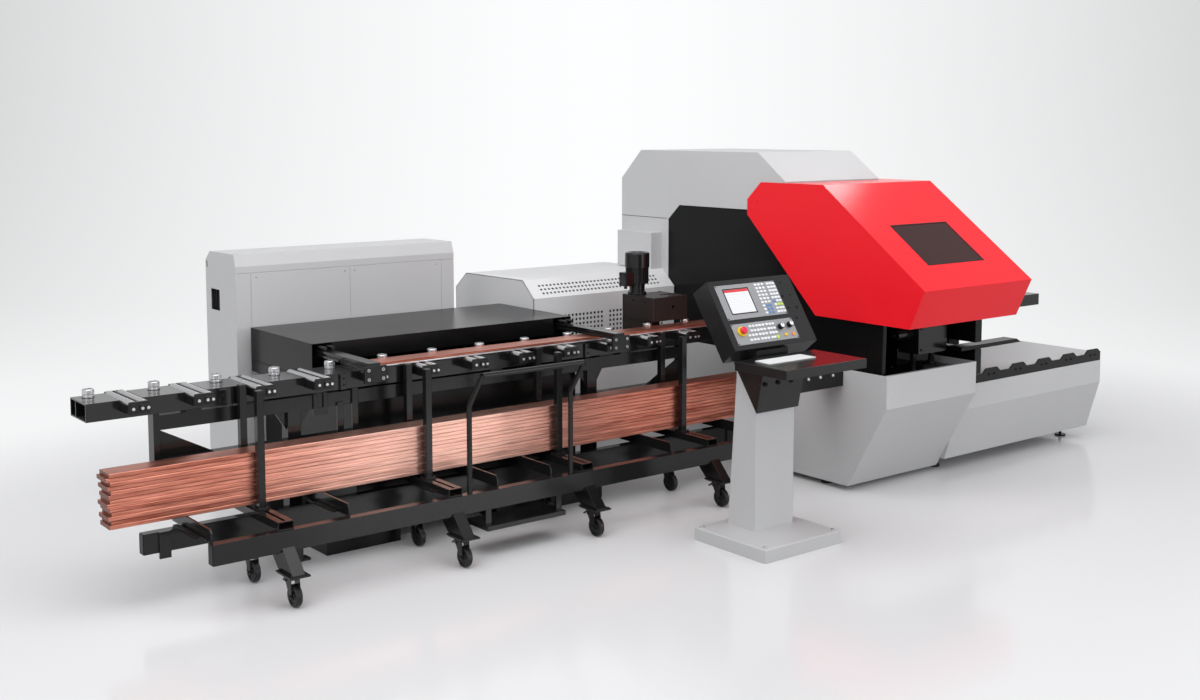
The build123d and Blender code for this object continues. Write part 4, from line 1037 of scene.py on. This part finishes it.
def addMotorDetails():
    s = motorSet
    x, y, top = s["x"], s["y"], s["top"]
    shapes = [turned([(r, 0), (r + 3, 0), (r + 3, 1.6), (r, 1.6), (r, 0)], (x, y, top - 1), (0, 0, 1), 40)
              for r in (16, 28, 40, 52)]
    for k in range(6):
        a = pi * k / 3
        cx, cy = cos(a), sin(a)
        line = [(x + cx * 14 - cy * 1.5, y + cy * 14 + cx * 1.5),
                (x + cx * 14 + cy * 1.5, y + cy * 14 - cx * 1.5),
                (x + cx * 56 + cy * 1.5, y + cy * 56 - cx * 1.5),
                (x + cx * 56 - cy * 1.5, y + cy * 56 + cx * 1.5)]
        shapes.append(slab(line, "z", top - 1, top + 0.8, 0.3))
    shapes.append(turned([(0, -1), (15, -1), (15, 1), (0, 1.6)], (x, y, top), (0, 0, 1), 24))
    shapes.append(turned([(0, 0), (9, 0), (9, -8), (11, -9), (11, -18), (7, -20), (0, -20)],
                         (x - 96, y, 1225), (0, 0, 1), 14))
    shapes += [slab(rounded(y - 34, 1229, y + 34, 1308, 6), "x", x - 121, x - 118, 1)]
    piece("motorFittings", "line", "black", shapes)
    spots = [((x + 54 * cos(a), y + 54 * sin(a), 1177), (0, 0, 1))
             for a in (pi / 4, 3 * pi / 4, 5 * pi / 4, 7 * pi / 4)]
    spots += [((x - 121, y + dy, z), (-1, 0, 0)) for dy in (-27, 27) for z in (1238, 1299)]
    spots += [((gx, gy, 1165), (0, 0, 1)) for gx, gy in ((3862, 52), (3862, 288), (3740, 52))]
    repeated("motorBolts", "line", "black", socketScrew(5, 5), spots, turn=6.0)

# Trolley and casters

trolleySet = {"x": 2126, "offsets": (-1376, -430, 430, 1376), "casterY": (-661, -204), "trail": 36,
              "axle": 55}

def addTrolleyDetails():
    s = trolleySet
    k = 0
    for offset in s["offsets"]:
        for y in s["casterY"]:
            k += 1
            x, yw = s["x"] + offset, y - s["trail"]
            hub = [turned([(0, 13.5), (7, 13.5), (8, 12.5), (15, 12.2), (17, 11), (17, 9), (0, 9)],
                          (x, yw, s["axle"]), (way, 0, 0), 24)
                   for way in (-1, 1)]
            rim = [turned([(38.5, 9), (41, 9), (41, 14.5), (39.5, 15.2), (38.5, 14.4), (38.5, 9)],
                          (x, yw, s["axle"]), (way, 0, 0), 32)
                   for way in (-1, 1)]
            piece(f"wheelHub{k}", f"wheel_{k}", "tyre", hub + rim, "black_plastic")
            nuts = [slab(regular((yw, s["axle"]), 8, 6, 0.4), "x", x + a, x + b, 0.8) for a,
                    b in ((28, 33), (-33, -28))]
            nuts.append(turned([(0, 0), (4.5, 0), (4.5, -10), (0, -10)], (x - 20, y + 10, 122), (1, 0, 0),
                               10))
            piece(f"forkNuts{k}", f"fork_{k}", "black", nuts)
    bolt = hexBolt(5.5, 6)
    spots = []
    for offset in s["offsets"]:
        for dx in (-38, 38):
            for y in (-752, -614):
                spots.append(((s["x"] + offset + dx, y, 163), (0, 0, 1)))
    for offset in s["offsets"]:
        for y in (-345.5, -146.5):
            spots += [((s["x"] + offset + dx, y + dy, 399), (0, 0, 1)) for dx in (-24, 24)
                      for dy in (-24, 24)]
    repeated("trolleyBolts", "trolley", "black", bolt, spots, turn=6.0)
    # end caps of the rails
    caps = []
    for x0, x1, ya, yb in ((379, 3873, -638, -588), (190, 4062, -280, -230)):
        for a, b in ((x0 - 3, x0 + 1), (x1 - 1, x1 + 3)):
            caps.append(slab(rounded(ya + 1, 254, yb - 1, 352, 3, 2), "x", a, b, 1))
    piece("railCaps", "trolley", "black", caps, "black_plastic")

trees = {}

addCamera()
addStage()
addLamps()
makeMaterials()
dressNodes()
print("finishes on", len(frame["nodes"]), "nodes")
trees["repeat"] = repeatTree()
trees["perforated"] = perforatedTree()
for stage in (addConsole, addPowerCover, addBeamDetails, addArmFittings, addLoaderSide, addHoodDetails,
              addPressDetails,
              addOutfeedDetails, addRear, addMotorDetails, addTrolleyDetails):
    stage()
    print("made", stage.__name__[3:])
